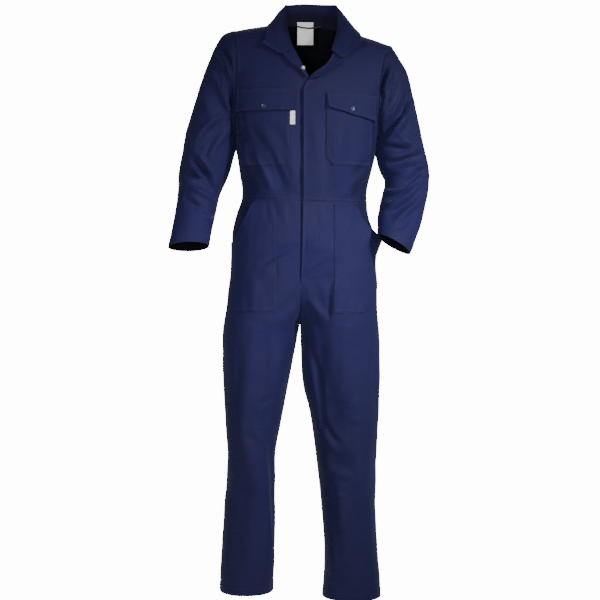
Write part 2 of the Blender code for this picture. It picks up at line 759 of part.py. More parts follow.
def collar_points(neck, stations):
    """Grid of the collar's middle surface: up from the neck seam, over the roll line and down the fall."""
    seam = spline_through(neck, stations)
    grid = []
    for i, base in enumerate(seam):
        along = 2 * i / (stations - 1) - 1
        value = {name: float(read(COLLAR, name, abs(along))) for name in COLLAR if name != "t"}
        side = np.sign(along)
        spots = []
        for part in ("roll", "mid", "edge"):
            away = side * value[part + "_x"]
            drop = value["edge_drop"] if part == "edge" else COLLAR_DROP
            z = value[part + "_z"] - drop * away
            spots.append(np.array([NECK_X + away, value[part + "_y"], z]))
        inward = np.array([NECK_X - base[0], NECK_MIDDLE_Y - base[1], 0.0])
        foot = base + COLLAR_INSET * unit(inward) + (0, 0, -1)
        grid.append(section_through(foot, *spots))
    return np.array(grid)


def section_through(foot, roll, mid, edge):
    """A section of the collar: a straight stand, a tight turn at the roll and the fall."""
    stand = unit(roll - foot)
    fall = unit(mid - roll)
    down = 0.3 * COLLAR_TURN * unit(fall - stand)
    before = roll - COLLAR_TURN * stand + down
    after = roll + COLLAR_TURN * fall + down
    return np.array([foot, (foot + roll) / 2, before, roll, after, mid, (mid + edge) / 2, edge])


def add_collar(cloth, left, right, back):
    grid = collar_points(neck_line(left, right, back), COLLAR_STATIONS)
    normals = normals_of(grid, False)
    add_wall("collar", grid + WALL / 2 * normals, grid - WALL / 2 * normals, cloth)


def add_stud(name, panel, metal):
    """A round press stud with a rolled rim, flat on the piece under it."""
    x, z, radius, height = STUDS[name]
    centre, normal = panel.place(*panel.locate(x, z))
    centre = centre + STUD_GAP * normal
    side = unit(np.cross(normal, (0, 0, 1.0)))
    turn = np.arange(STUD_SIDES)[:, None] * 2 * math.pi / STUD_SIDES
    spokes = np.cos(turn) * side + np.sin(turn) * np.cross(side, normal)
    rings = [
        centre + radius * share * spokes + height * level * normal
        for share, level in zip(STUD_PROFILE["radius"], STUD_PROFILE["height"])
    ]
    points = np.concatenate([[centre + height * normal, centre], *rings])
    faces = []
    for k in range(STUD_SIDES):
        n = (k + 1) % STUD_SIDES
        faces.append((0, 2 + k, 2 + n))
        for r in range(len(rings) - 1):
            a = 2 + r * STUD_SIDES
            faces.append((a + k, a + STUD_SIDES + k, a + STUD_SIDES + n, a + n))
        last = 2 + (len(rings) - 1) * STUD_SIDES
        faces.append((1, last + n, last + k))
    add_piece(name, points, faces, metal)


def add_lapel(name, panel, cloth):
    """A turned front: from the roll line at the free edge out to the lapel's own edge."""
    lines = [np.stack([line["x"], line["z"]], axis=1) for line in LAPELS[name]]
    roll, edge = (spline_through(line, LAPEL_ROWS) for line in lines)
    share = np.linspace(0, 1, len(LAPEL_LIFT))[None, :, None]
    outline = roll[:, None] + (edge - roll)[:, None] * share
    return lay(name, panel, outline, cloth, lift=LAPEL_LIFT)


def add_chest_pocket(word, panel, cloth, metal):
    """A patch pocket with its flap and the stud on it."""
    pocket = patch(f"chest_pocket_{word}", "chest_pocket")
    flap = patch(f"pocket_flap_{word}", "pocket_flap")
    lift = np.zeros(flap.shape[:2])
    if word == "left":
        pocket[-2:, 0] = CUT_CORNER
        lift[:, :2] = np.transpose(FLAP_LIFT)
    under = lay(f"chest_pocket_{word}", panel, pocket, cloth)
    gap = LAID + POCKET_WALL + LEAST_GAP
    top = lay(f"pocket_flap_{word}", panel, flap, cloth, gap=gap, lift=lift, over=(under,))
    add_stud(f"flap_stud_{word}", top, metal)


def add_hip_pocket(name, side, panel, cloth):
    """A patch pocket with a slanted mouth, from the waist seam round to the side seam."""
    size = HIP_POCKETS[side]
    rows, cols = PATCH_GRIDS["hip_pocket"]
    outline = np.zeros((rows, cols, 2))
    for i, j in np.ndindex(rows, cols):
        down, along = i / (rows - 1), j / (cols - 1)
        end = size["side_z"] + (size["bottom"] - size["side_z"]) * down
        outer = float(read(LEGS[side], "outer", -end)) - side * HIP_EDGE
        x = size["inner"] + (outer - size["inner"]) * along
        past = np.clip((x - size["mouth_x"]) / (outer - size["mouth_x"]), 0, 1)
        waist = -WAIST_H - HIP_BELOW_SEAM + LEAN["slope"][2] * x
        top = waist + (size["side_z"] + WAIST_H + HIP_BELOW_SEAM) * past
        z = top + (size["bottom"] - top) * down
        rounding = 2 * smoothstep((down - HIP_ROUND_FROM) / HIP_ROUND_OVER)
        x += (size["corner"] - outer) * rounding * along
        outline[i, j] = (x, z)
    gape = np.zeros((rows, cols))
    gape[0] = HIP_GAPE * np.sin(np.linspace(0, math.pi, cols)) ** 2
    gape[1] = gape[0] / 2
    aside = np.zeros((rows, cols))
    if side > 0:
        apart = np.linalg.norm(outline - POUCH, axis=2)
        aside = POUCH_OUT * np.exp(-((apart / POUCH_REACH) ** 2))
    lay(name, panel, outline, cloth, lift=gape, aside=aside)


def add_rule_pocket(panel, cloth):
    outline = patch("rule_pocket", "rule_pocket")
    gape = np.zeros(outline.shape[:2])
    gape[0] = RULE_GAPE
    gape[1] = RULE_GAPE / 3
    lay("rule_pocket", panel, outline, cloth, lift=gape)


def add_neck_label(white):
    """A bare label inside the back neck."""
    rows, cols = LABEL_GRID
    across = np.linspace(LABEL_X - LABEL_HALF, LABEL_X + LABEL_HALF, cols)
    x, z = np.meshgrid(across, np.linspace(LABEL_TOP, LABEL_FOOT, rows))
    face = np.stack([x, LABEL_Y - NECK_CURVE * (x - NECK_X) ** 2, z], axis=-1)
    add_wall("neck_label", face, face - (0, LABEL_WALL, 0), white)


def add_hanger_loop(black):
    """A loop of tape that sags across the label."""
    across, along = np.meshgrid([0, 1], np.linspace(-1, 1, LOOP_STATIONS))
    x = LOOP_X + LOOP_HALF * along
    y = LABEL_Y - LOOP_STAND - NECK_CURVE * (x - NECK_X) ** 2
    z = LOOP_TOP - LOOP_SAG * (1 - along**2) - LOOP_WIDTH * across
    face = np.stack([x, y, z], axis=-1)
    add_wall("hanger_loop", face, face - (0, LOOP_WALL, 0), black)


def main():
    for old in list(bpy.data.objects):
        bpy.data.objects.remove(old)
    cloth = material("navy_twill", NAVY, 0.75)
    trim = material("navy_twill_trim", NAVY_LIGHT, 0.72)
    metal = material("stud_metal", METAL, 0.3, 1.0)
    white = material("label_white", WHITE, 0.8)
    black = material("loop_black", BLACK, 0.6)

    left, right, back = front_panel(1), front_panel(-1), back_panel()
    add_trunk_panel("front_left", left, cloth, (-1,))
    add_trunk_panel("front_right", right, cloth, (-1,))
    add_trunk_panel("back_upper", back, cloth, (0, -1))
    add_sleeve("sleeve_left", 1, left, back, cloth)
    add_sleeve("sleeve_right", -1, right, back, cloth)
    legs = {}
    for side, word in ((1, "left"), (-1, "right")):
        for face in ("front", "back"):
            legs[side, face] = leg_panel(side, face)
            add_leg_panel(f"trouser_{face}_{word}", legs[side, face], cloth)
    add_collar(trim, left, right, back)
    lapel = add_lapel("lapel_right", right, trim)
    add_lapel("lapel_left", left, trim)
    add_stud("neck_stud", lapel, metal)
    add_chest_pocket("left", left, trim, metal)
    add_chest_pocket("right", right, trim, metal)
    add_stud("placket_stud", lay("placket", left, patch("placket", "placket"), trim), metal)
    lay("tab_label", right, patch("tab_label", "tab_label"), white, wall=LABEL_WALL)
    add_hip_pocket("hip_pocket_left", 1, legs[1, "front"], trim)
    add_hip_pocket("hip_pocket_right", -1, legs[-1, "front"], trim)
    add_rule_pocket(legs[-1, "back"], trim)
    add_neck_label(white)
    add_hanger_loop(black)


main()
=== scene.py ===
# %% [markdown]
# # A boiler suit in navy twill
#
# A boiler suit is sewn from flat panels of heavy twill: two fronts, one back, two sleeves, four trouser
# panels, a collar and patch pockets. Nothing in it is solid, so nothing here is either. The frame gives
# each panel as a plain closed wall at its true size. Each of them is read back into rows and columns,
# drawn again with a fine mesh, creased, and sewn with real stitches. Camera, lamps and materials are in
# metres, as Blender is, and the cloth is worked out in millimetres. Height 0 is the middle of the
# shoulder line, left and right are the wearer's, and the front faces -Y.

# %% Load the frame
import math

import bpy
import numpy as np
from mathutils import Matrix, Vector, noise
from mathutils.bvhtree import BVHTree
from mathutils.geometry import barycentric_transform


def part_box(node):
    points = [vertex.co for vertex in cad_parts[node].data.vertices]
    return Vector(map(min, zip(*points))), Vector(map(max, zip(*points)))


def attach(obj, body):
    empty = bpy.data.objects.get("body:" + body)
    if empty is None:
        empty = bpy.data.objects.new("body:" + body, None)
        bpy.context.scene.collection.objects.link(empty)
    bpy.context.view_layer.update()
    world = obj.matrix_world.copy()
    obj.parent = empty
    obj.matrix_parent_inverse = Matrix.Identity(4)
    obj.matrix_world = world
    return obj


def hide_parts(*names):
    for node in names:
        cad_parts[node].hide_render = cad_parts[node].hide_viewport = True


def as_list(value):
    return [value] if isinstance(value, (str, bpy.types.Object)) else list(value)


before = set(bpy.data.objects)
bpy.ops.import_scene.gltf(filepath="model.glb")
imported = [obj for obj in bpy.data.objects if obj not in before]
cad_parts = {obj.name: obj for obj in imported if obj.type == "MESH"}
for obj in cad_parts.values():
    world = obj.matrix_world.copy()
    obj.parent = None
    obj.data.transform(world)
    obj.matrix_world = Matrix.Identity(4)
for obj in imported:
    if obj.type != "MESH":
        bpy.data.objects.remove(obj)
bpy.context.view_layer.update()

MM = 0.001

# %% [markdown]
# ## Camera, floor and light
#
# The suit is seen from straight ahead, from about the height of its waist, with a long lens so that its
# sides stay nearly parallel. A large pale floor and an almost white sky give the even light of a studio.
# A spotlight from high on the right gives the creases a light and a dark side. One small lamp in front of
# the hips and one on the left soften its shadows, and a wide one lights the back.

# %% Camera
CAMERA_AT = Vector((-0.008, -3.8, -0.50))
CAMERA_AIM = Vector((-0.008, 0.0, -0.737))
VIEW_HEIGHT = 1.65  # what the view takes in at the depth of the shoulders

camera = bpy.data.objects.new("camera", bpy.data.cameras.new("camera"))
camera.data.angle = 2 * math.atan(VIEW_HEIGHT / 2 / abs(CAMERA_AT.y))
camera.location = CAMERA_AT
camera.rotation_euler = (CAMERA_AIM - CAMERA_AT).to_track_quat("-Z", "Y").to_euler()
bpy.context.scene.collection.objects.link(camera)
bpy.context.scene.camera = camera
print("field of view:", round(math.degrees(camera.data.angle), 2), "degrees")

# %% Lamps
LAMPS = {  # name: (kind, place, size in metres, power in watts)
    "key": ("SPOT", (2.2, -2.1, 0.8), 0.45, 440),
    "hips": ("AREA", (0.1, -1.7, -0.6), 0.5, 9),
    "front": ("AREA", (-1.1, -3.3, 0.7), 0.8, 38),
    "back": ("AREA", (0.3, 3.2, 1.2), 2.4, 80),
}
LAMP_AIM = Vector((0.05, 0, -0.74))
KEY_CONE = math.radians(32)  # the key is brightest in the middle of its cone, on the hips


def add_lamp(name, kind, place, size, power):
    lamp = bpy.data.objects.new(name, bpy.data.lights.new(name, kind))
    if kind == "SPOT":
        lamp.data.spot_size = KEY_CONE
        lamp.data.spot_blend = 1.0
        lamp.data.shadow_soft_size = size / 2
    else:
        lamp.data.shape = "DISK"
        lamp.data.size = size
    lamp.data.energy = power
    lamp.location = place
    lamp.visible_camera = False
    lamp.rotation_euler = (LAMP_AIM - lamp.location).to_track_quat("-Z", "Y").to_euler()
    bpy.context.scene.collection.objects.link(lamp)


for name, facts in LAMPS.items():
    add_lamp(name, *facts)
print("lamps:", ", ".join(LAMPS))


# %% Helpers that place a node and fill its inputs
def feed(tree, node, inputs):
    """Fill a node's inputs, by place or by name: each gets a value, or a socket to link."""
    for key, value in inputs.items():
        if isinstance(value, bpy.types.NodeSocket):
            tree.links.new(value, node.inputs[key])
        elif value is not None:
            node.inputs[key].default_value = value


def put(tree, kind, *values, inputs={}, **settings):
    """A new node with its settings. Values fill its first inputs in order, and inputs others by name."""
    node = tree.nodes.new(kind)
    for name, value in settings.items():
        setattr(node, name, value)
    feed(tree, node, {**dict(enumerate(values)), **inputs})
    return node


def sums(tree, operation, *values):
    return put(tree, "ShaderNodeMath", *values, operation=operation).outputs[0]


# %% Sky: white to look at, softer as a light
WHITE = (1, 1, 1, 1)
SKY_LIGHT = 0.12
SEEN_WHITE = 14.0

world = bpy.data.worlds.new("studio")
bpy.context.scene.world = world
world.use_nodes = True
sky = world.node_tree
seen = sky.nodes["Background"]
feed(sky, seen, {"Color": WHITE, "Strength": SEEN_WHITE})
lit = put(sky, "ShaderNodeBackground", WHITE, SKY_LIGHT)
ray = put(sky, "ShaderNodeLightPath").outputs["Is Camera Ray"]
choice = put(sky, "ShaderNodeMixShader", ray, lit.outputs[0], seen.outputs[0])
feed(sky, sky.nodes["World Output"], {"Surface": choice.outputs[0]})
print("sky light:", SKY_LIGHT)

# %% Floor
FLOOR_Z = -1.66
FLOOR_RADIUS = 14.0
FLOOR_SIDES = 64
FLOOR_PAINT = (0.9, 0.9, 0.9, 1)
FLOOR_ROUGHNESS = 0.9
FLOOR_GLOW = 1.1 * SEEN_WHITE
GLOW_SHARE = 0.92  # how much of the glow the camera sees, so that a little shadow stays on the paint

turns = [2 * math.pi * k / FLOOR_SIDES for k in range(FLOOR_SIDES)]
rim = [(FLOOR_RADIUS * math.cos(a), FLOOR_RADIUS * math.sin(a), FLOOR_Z) for a in turns]
floor_mesh = bpy.data.meshes.new("floor")
floor_mesh.from_pydata(rim, [], [list(range(FLOOR_SIDES))])
floor = bpy.data.objects.new("floor", floor_mesh)
bpy.context.scene.collection.objects.link(floor)
pale = bpy.data.materials.new("pale floor")
pale.use_nodes = True
ground = pale.node_tree
paint = ground.nodes["Principled BSDF"]
feed(ground, paint, {"Base Color": FLOOR_PAINT, "Roughness": FLOOR_ROUGHNESS})
glow = put(ground, "ShaderNodeEmission", None, FLOOR_GLOW)
ray = put(ground, "ShaderNodeLightPath").outputs["Is Camera Ray"]
share = sums(ground, "MULTIPLY", ray, GLOW_SHARE)
choice = put(ground, "ShaderNodeMixShader", share, paint.outputs[0], glow.outputs[0])
feed(ground, ground.nodes["Material Output"], {"Surface": choice.outputs[0]})
floor_mesh.materials.append(pale)
print("floor at", FLOOR_Z)

# %% [markdown]
# ## Twill, thread and studs
#
# Twill is woven so that its yarns cross in steps, which leaves fine slanted ribs on the face. On navy
# workwear the ribs are about a millimetre apart. They are too fine to model, so they are a bump that
# follows each panel's own UV map, as a weave follows the cloth when it is cut and sewn. The dye is never
# quite even, and it rubs off a little on seams and edges. These effects are node groups, so that each
# material can use them with its own values.


# %% A helper that makes a node group
def node_group(name, inputs, outputs, kind="ShaderNodeTree"):
    """A group with named sockets: (label, socket type, value) in, (label, socket type) out."""
    tree = bpy.data.node_groups.new(name, kind)
    for label, socket_type, value in inputs:
        socket = tree.interface.new_socket(name=label, in_out="INPUT", socket_type="NodeSocket" + socket_type)
        if value is not None:
            socket.default_value = value
    for label, socket_type in outputs:
        tree.interface.new_socket(name=label, in_out="OUTPUT", socket_type="NodeSocket" + socket_type)
    return tree, tree.nodes.new("NodeGroupInput"), tree.nodes.new("NodeGroupOutput")


# %% Twill ribs
WANDER = (90.0, 0.0012)  # the ribs wander: waves in a metre, and how far in metres
RIB_SLANT = 0.7
YARN_TURNS = 9.0  # the yarn's own turns across the ribs
YARN_HEIGHT = 0.35
NOISE_DETAIL = 2.0
SLUB_SCALE = (700, 60, 1)  # thick places in the yarn are long and narrow


def twill_group():
    """Slanted ribs with the yarn's own turns across them, from the cloth's UV map in metres."""
    tree, given, made = node_group(
        "twill ribs",
        [("UV", "Vector", None), ("Rib", "Float", 0.001), ("Slub", "Float", 0.3)],
        [("Height", "Float"), ("Tone", "Float")],
    )
    whole, width = given.outputs["UV"], given.outputs["Rib"]
    u, v, _ = put(tree, "ShaderNodeSeparateXYZ", whole).outputs
    wander = put(tree, "ShaderNodeTexNoise", whole, None, WANDER[0], NOISE_DETAIL)
    shift = sums(tree, "MULTIPLY", wander.outputs[0], WANDER[1])
    slant = sums(tree, "ADD", u, sums(tree, "MULTIPLY_ADD", v, RIB_SLANT, shift))
    rib = sums(tree, "SINE", sums(tree, "MULTIPLY", sums(tree, "DIVIDE", slant, width), 2 * math.pi))
    cross = sums(tree, "DIVIDE", sums(tree, "SUBTRACT", v, u), width)
    yarn = sums(tree, "SINE", sums(tree, "MULTIPLY", cross, YARN_TURNS))
    stretched = put(tree, "ShaderNodeMapping", whole, inputs={"Scale": SLUB_SCALE})
    slub = put(tree, "ShaderNodeTexNoise", stretched.outputs[0], None, 1.0, NOISE_DETAIL)
    uneven = sums(tree, "MULTIPLY", sums(tree, "SUBTRACT", slub.outputs[0], 0.5), given.outputs["Slub"])
    feed(tree, made, {"Height": sums(tree, "MULTIPLY_ADD", yarn, YARN_HEIGHT, rib), "Tone": uneven})
    return tree


TWILL = twill_group()
print("made group:", TWILL.name)

# %% Wear: where edges and seams have rubbed
WEAR_PATCHES = (45.0, 4.0)  # scale and detail of what breaks the wear up
PATCHY = (0.35, 0.7, 0.15, 1.0)  # from this low and high of the noise, to this share of the wear


def wear_group():
    """A mask that is 1 on an edge and dies away over a few millimetres, broken up as real wear is."""
    inputs = [("Edge mm", "Float", 0), ("Reach mm", "Float", 3), ("Place", "Vector", None)]
    tree, given, made = node_group("edge wear", inputs, [("Mask", "Float")])
    share = sums(tree, "DIVIDE", given.outputs["Edge mm"], given.outputs["Reach mm"])
    near = sums(tree, "EXPONENT", sums(tree, "MULTIPLY", share, -1.0))
    patchy = put(tree, "ShaderNodeTexNoise", given.outputs["Place"], None, *WEAR_PATCHES)
    spread = put(tree, "ShaderNodeMapRange", patchy.outputs[0], *PATCHY)
    feed(tree, made, {"Mask": sums(tree, "MULTIPLY", near, spread.outputs[0])})
    return tree


WEAR = wear_group()
print("made group:", WEAR.name)


# %% Helpers for materials
def principled(name, colour, roughness, metallic=0.0):
    """A new material, its node tree and its Principled shader."""
    made = bpy.data.materials.new(name)
    made.use_nodes = True
    shader = made.node_tree.nodes["Principled BSDF"]
    plain = {"Base Color": (*colour, 1), "Roughness": roughness, "Metallic": metallic}
    feed(made.node_tree, shader, plain)
    return made, made.node_tree, shader


def mix_colour(tree, share, *colours):
    """From the first colour to the second by a share. A colour is three numbers or a socket."""
    first, second = (c if isinstance(c, bpy.types.NodeSocket) else (*c, 1) for c in colours)
    return put(tree, "ShaderNodeMix", data_type="RGBA", inputs={0: share, 6: first, 7: second}).outputs[2]


def attribute(tree, name):
    """A number that each point of a cloth carries."""
    return put(tree, "ShaderNodeAttribute", attribute_name=name).outputs["Fac"]


def object_place(tree):
    return put(tree, "ShaderNodeTexCoord").outputs["Object"]


def woven_ribs(tree, width, slub):
    """The twill group on a cloth's own UV map, with the ribs this wide in metres."""
    uv = put(tree, "ShaderNodeUVMap", uv_map="weave").outputs[0]
    return put(tree, "ShaderNodeGroup", node_tree=TWILL, inputs={"UV": uv, "Rib": width, "Slub": slub})


def bump(tree, height, strength, depth):
    inputs = {"Strength": strength, "Distance": depth, "Height": height}
    return put(tree, "ShaderNodeBump", inputs=inputs).outputs[0]


# %% Twill: its colours
# The navy mixes towards the pale one where light is painted on the hips, and towards the deep one under
# painted shade.
DEEP_AND_SHADED_NAVY = (0.0052, 0.0048, 0.0440)
WASHED_AND_LIT_NAVY = (0.0118, 0.0100, 0.0760)
RUBBED_NAVY = (0.021, 0.019, 0.080)
INSIDE_SHADE_NAVY = (0.0030, 0.0034, 0.0080)  # painted shade: the inner layers and the collar's stand are darker, where shade falls
DYE_PATCHES = (7.0, 5.0)  # scale and detail of the uneven dye
DYE_SHARE = 0.5
FADED_AND_LIT = (-0.62, 0.34)  # the cloth is palest at this height, from dye that fades and from painted light, and less pale over this reach above and below it
FADED_AND_LIT_SHARE = 0.6
SHADOW_SHARE = 0.8  # how much darker the painted shadow of the arms and behind the hip pockets' mouths makes the cloth
RUB_REACH = 2.5
RUB_SHARE = 0.3


def faded_and_lit_share(tree, place):
    """How much the cloth is paled at a height, from 0 to 1: dye that fades there, and painted light on the
    hips.
    """
    height = put(tree, "ShaderNodeSeparateXYZ", place).outputs["Z"]
    apart = sums(tree, "DIVIDE", sums(tree, "SUBTRACT", height, FADED_AND_LIT[0]), FADED_AND_LIT[1])
    return sums(tree, "EXPONENT", sums(tree, "MULTIPLY", sums(tree, "MULTIPLY", apart, apart), -1.0))


def twill_colour(tree, place, dye, tone):
    """Navy that is deep at random and under painted shadow, paler on the hips where the dye fades and where
    light is painted on, palest on rubbed edges, and painted shade inside.
    """
    even = sums(tree, "MULTIPLY_ADD", dye, DYE_SHARE, tone)
    faded_and_lit = sums(tree, "MULTIPLY_ADD", faded_and_lit_share(tree, place), FADED_AND_LIT_SHARE, even)
    # The painted shadow of the arms and pockets deepens the navy here.
    share = sums(tree, "MULTIPLY_ADD", attribute(tree, "covered"), -SHADOW_SHARE, faded_and_lit)
    inputs = {"Edge mm": attribute(tree, "edge_mm"), "Reach mm": RUB_REACH, "Place": place}
    wear = put(tree, "ShaderNodeGroup", node_tree=WEAR, inputs=inputs)
    rubbed = sums(tree, "MULTIPLY", wear.outputs["Mask"], RUB_SHARE)
    face = mix_colour(tree, rubbed, mix_colour(tree, share, DEEP_AND_SHADED_NAVY, WASHED_AND_LIT_NAVY), RUBBED_NAVY)
    return mix_colour(tree, attribute(tree, "shaded_inside"), face, INSIDE_SHADE_NAVY)


print("washed navy is", round(WASHED_AND_LIT_NAVY[2] / DEEP_AND_SHADED_NAVY[2], 2), "times as blue as deep navy")

# %% Twill: the material
RIB = 0.00095
SLUB = 0.5  # how much the thick places in the yarn show
RIB_DEPTH = 0.00012
RIB_STRENGTH = 0.35
NOISE_SPAN = (0.3, 0.7)  # where most of a noise lies
TWILL_ROUGHNESS = (0.66, 0.8)
REVERSE_ROUGHER = 0.2


def twill_material():
    """Woven cloth: uneven dye with painted light and shade, slanted ribs, rubbed edges and a faint sheen."""
    made, tree, shader = principled("navy twill", WASHED_AND_LIT_NAVY, TWILL_ROUGHNESS[1])
    place = object_place(tree)
    ribs = woven_ribs(tree, RIB, SLUB)
    dye = put(tree, "ShaderNodeTexNoise", place, None, *DYE_PATCHES).outputs[0]
    rough = put(tree, "ShaderNodeMapRange", dye, *NOISE_SPAN, *TWILL_ROUGHNESS).outputs[0]
    inputs = {
        "Base Color": twill_colour(tree, place, dye, ribs.outputs["Tone"]),
        "Roughness": sums(tree, "MULTIPLY_ADD", attribute(tree, "shaded_inside"), REVERSE_ROUGHER, rough),
        "Normal": bump(tree, ribs.outputs["Height"], RIB_STRENGTH, RIB_DEPTH),
        "Specular IOR Level": 0.25,
        "Sheen Weight": 0.09,
        "Sheen Roughness": 0.45,
        "Sheen Tint": (0.55, 0.6, 1.0, 1),
    }
    feed(tree, shader, inputs)
    return made


NAVY_TWILL = twill_material()
print("made material:", NAVY_TWILL.name)

# %% Thread, label and tape
THREAD_NAVY = (0.022, 0.024, 0.090)
THREAD_SHADES = ((0.015, 0.016, 0.066), (0.028, 0.030, 0.105))
TWIST_SCALE = 900.0
TAPE_RIB = 0.0006
TAPE_SLUB = 0.6
TAPE_TONE = 0.6  # where between its two colours a tape lies
TAPE_STRENGTH = 0.3
TAPE_DEPTH = 0.0001


def thread_material():
    """Polyester thread: navy, a shade lighter than the cloth, twisted, with a slight gloss."""
    made, tree, shader = principled("navy thread", THREAD_NAVY, 0.6)
    twist = put(tree, "ShaderNodeTexNoise", object_place(tree), None, TWIST_SCALE, NOISE_DETAIL)
    shade = mix_colour(tree, twist.outputs[0], *THREAD_SHADES)
    feed(tree, shader, {"Base Color": shade, "Sheen Weight": 0.1})
    return made


def woven_material(name, low, high):
    """Plain woven tape or label, from fine yarns that cross at right angles."""
    made, tree, shader = principled(name, high, 0.7)
    ribs = woven_ribs(tree, TAPE_RIB, TAPE_SLUB)
    colour = mix_colour(tree, sums(tree, "ADD", ribs.outputs["Tone"], TAPE_TONE), low, high)
    normal = bump(tree, ribs.outputs["Height"], TAPE_STRENGTH, TAPE_DEPTH)
    feed(tree, shader, {"Base Color": colour, "Normal": normal})
    return made


THREAD = thread_material()
LABEL_WHITE = woven_material("white label weave", (0.76, 0.76, 0.75), (0.95, 0.95, 0.94))
LOOP_BLACK = woven_material("black tape weave", (0.003, 0.003, 0.004), (0.008, 0.008, 0.009))
print("made materials:", THREAD.name, LABEL_WHITE.name, LOOP_BLACK.name)

# %% Metal of the studs
SCRATCHES = (600.0, 6.0)  # scale and detail
METAL_ROUGHNESS = (0.3, 0.55)


def metal_material(name, low, high):
    """Plated brass gone a little dull: fine scratches vary its roughness and its colour."""
    made, tree, shader = principled(name, high, 0.4, 1.0)
    marks = put(tree, "ShaderNodeTexNoise", object_place(tree), None, *SCRATCHES).outputs[0]
    rough = put(tree, "ShaderNodeMapRange", marks, *NOISE_SPAN, *METAL_ROUGHNESS).outputs[0]
    feed(tree, shader, {"Base Color": mix_colour(tree, marks, low, high), "Roughness": rough})
    return made


STUD_METAL = metal_material("dull stud metal", (0.05, 0.06, 0.11), (0.11, 0.13, 0.21))
DARK_METAL = metal_material("painted stud metal", (0.02, 0.02, 0.05), (0.06, 0.06, 0.12))
# Painted highlight: the neck stud's metal is paler, standing for the light that it catches.
HIGHLIT_STUD_METAL = metal_material("stud metal with painted highlight", (0.50, 0.51, 0.53), (0.80, 0.81, 0.83))
print("made materials:", STUD_METAL.name, DARK_METAL.name, HIGHLIT_STUD_METAL.name)

# %% [markdown]
# ## Reading a panel back into rows and columns
#
# A panel was made as a grid of points, row by row, and then given its thickness. The frame holds it as
# loose triangles. To draw it again with a finer mesh we need the grid, because the grid knows where the
# cloth's edges are, which way the weave runs and how far each point is from a seam. The wall's rim is the
# only place with sides as short as the cloth is thick, so leaving those triangles out parts the wall into
# its outer and its inner layer. A layer is then walked like knitting: a row is known, and the triangles
# under it name the next row.

# %% The two layers of a wall
RIM_MM = 1.65  # only the rim has sides shorter than this


def merged_triangles(node):
    """The node's points in millimetres, each once, and its triangles."""
    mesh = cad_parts[node].data
    loose = np.empty(len(mesh.vertices) * 3, np.float32)
    mesh.vertices.foreach_get("co", loose)
    corners = np.empty(len(mesh.loops), np.int32)
    mesh.loops.foreach_get("vertex_index", corners)
    points, same = np.unique(np.round(loose.reshape(-1, 3) / MM, 3), axis=0, return_inverse=True)
    return points, same.ravel()[corners].reshape(-1, 3)


def third_corners(faces):
    """For each directed side of a triangle, the corner across from it."""
    return {(face[k - 3], face[k - 2]): face[k - 1] for face in faces.tolist() for k in range(3)}


def layers(points, faces):
    """The outer and inner layer of a wall, as two lists of triangles."""
    a, b, c = points[faces].transpose(1, 0, 2)
    sides = [np.linalg.norm(q - p, axis=1) for p, q in ((a, b), (b, c), (c, a))]
    faces = faces[np.min(sides, axis=0) > RIM_MM]
    owner = {(face[k - 3], face[k - 2]): i for i, face in enumerate(faces.tolist()) for k in range(3)}
    group = np.full(len(faces), -1)
    for start in range(len(faces)):
        if group[start] >= 0:
            continue
        name = group.max() + 1
        group[start] = name
        stack = [start]
        while stack:
            face = faces[stack.pop()]
            for k in range(3):
                other = owner.get((face[k - 2], face[k - 3]))
                if other is not None and group[other] < 0:
                    group[other] = name
                    stack.append(other)
    assert group.max() == 1, "a wall has two layers"
    return [faces[group == name] for name in (0, 1)]


def outwardness(points, faces):
    """How much a layer faces away from the upright line through the middle of the piece."""
    a, b, c = points[faces].transpose(1, 0, 2)
    away = (a + b + c) / 3
    away = away - (points[:, 0].mean(), 0, 0)
    return np.sum(np.cross(b - a, c - a)[:, :2] * away[:, :2])


# %% From triangles to rows
def edge_loops(third):
    """The closed chains of points along a layer's edges."""
    onward = {a: b for a, b in third if (b, a) not in third}
    loops = []
    while onward:
        loop = [next(iter(onward))]
        while onward[loop[-1]] != loop[0]:
            loop.append(onward.pop(loop[-1]))
        onward.pop(loop[-1])
        loops.append(loop)
    return loops


def row_below(third, row, start, first):
    """The next row, from its first point under row[start]. The row is followed round to its start."""
    found = [first]
    for k in range(start, start + len(row) - 1):
        here, after = row[k % len(row)], row[(k + 1) % len(row)]
        corner = third[here, found[-1]]
        found.append(third[after, found[-1]] if corner == after else corner)
    return found


def fan_below(third, row, k):
    """The points under row[k] of a closed ring, from right to left."""
    here, end = row[k], row[k - 1]
    fan = [third[row[(k + 1) % len(row)], here]]
    while fan[-1] != end:
        fan.append(third[fan[-1], here])
    return fan[:-1]


def turns_of(points, loop):
    """How sharply a closed chain of points turns at each of them."""
    chain = points[loop]
    before = chain - np.roll(chain, 1, axis=0)
    after = np.roll(chain, -1, axis=0) - chain
    cosine = np.sum(before * after, axis=1) / np.linalg.norm(before, axis=1) / np.linalg.norm(after, axis=1)
    return np.arccos(np.clip(cosine, -1, 1))


HIGHEST = 0.002  # how much a millimetre of height counts when the top row is chosen


def open_rows(points, faces, third, loop):
    """Rows of an open panel. Its corners turn sharply and belong to few triangles, and the highest of
    the four sides between them is its top row."""
    half, area = len(loop) // 2, len(faces) // 2
    spread = round(math.sqrt(half * half - 4 * area))
    square = turns_of(points, loop) - 2 * np.bincount(faces.ravel())[loop]
    long, short = (half + spread) // 2, (half - spread) // 2
    best = None
    for down, across in {(long, short), (short, long)}:
        for s in range(len(loop)):
            corners = [s, s + down, s + down + across, s + 2 * down + across]
            top = [loop[s - k] for k in range(across + 1)]
            score = sum(square[c % len(loop)] for c in corners) + HIGHEST * points[top, 2].mean()
            if best is None or score > best[0]:
                best = score, top, [loop[(s + k) % len(loop)] for k in range(down + 1)]
    _, top, side = best
    rows = [top]
    for first in side[1:]:
        rows.append(row_below(third, rows[-1], 0, first))
    return rows


def stride(points, row, fans, side):
    """The whole way from a ring down to the one below it, on one side of each fan."""
    return sum(math.dist(points[here], points[fan[side]]) for here, fan in zip(row, fans))


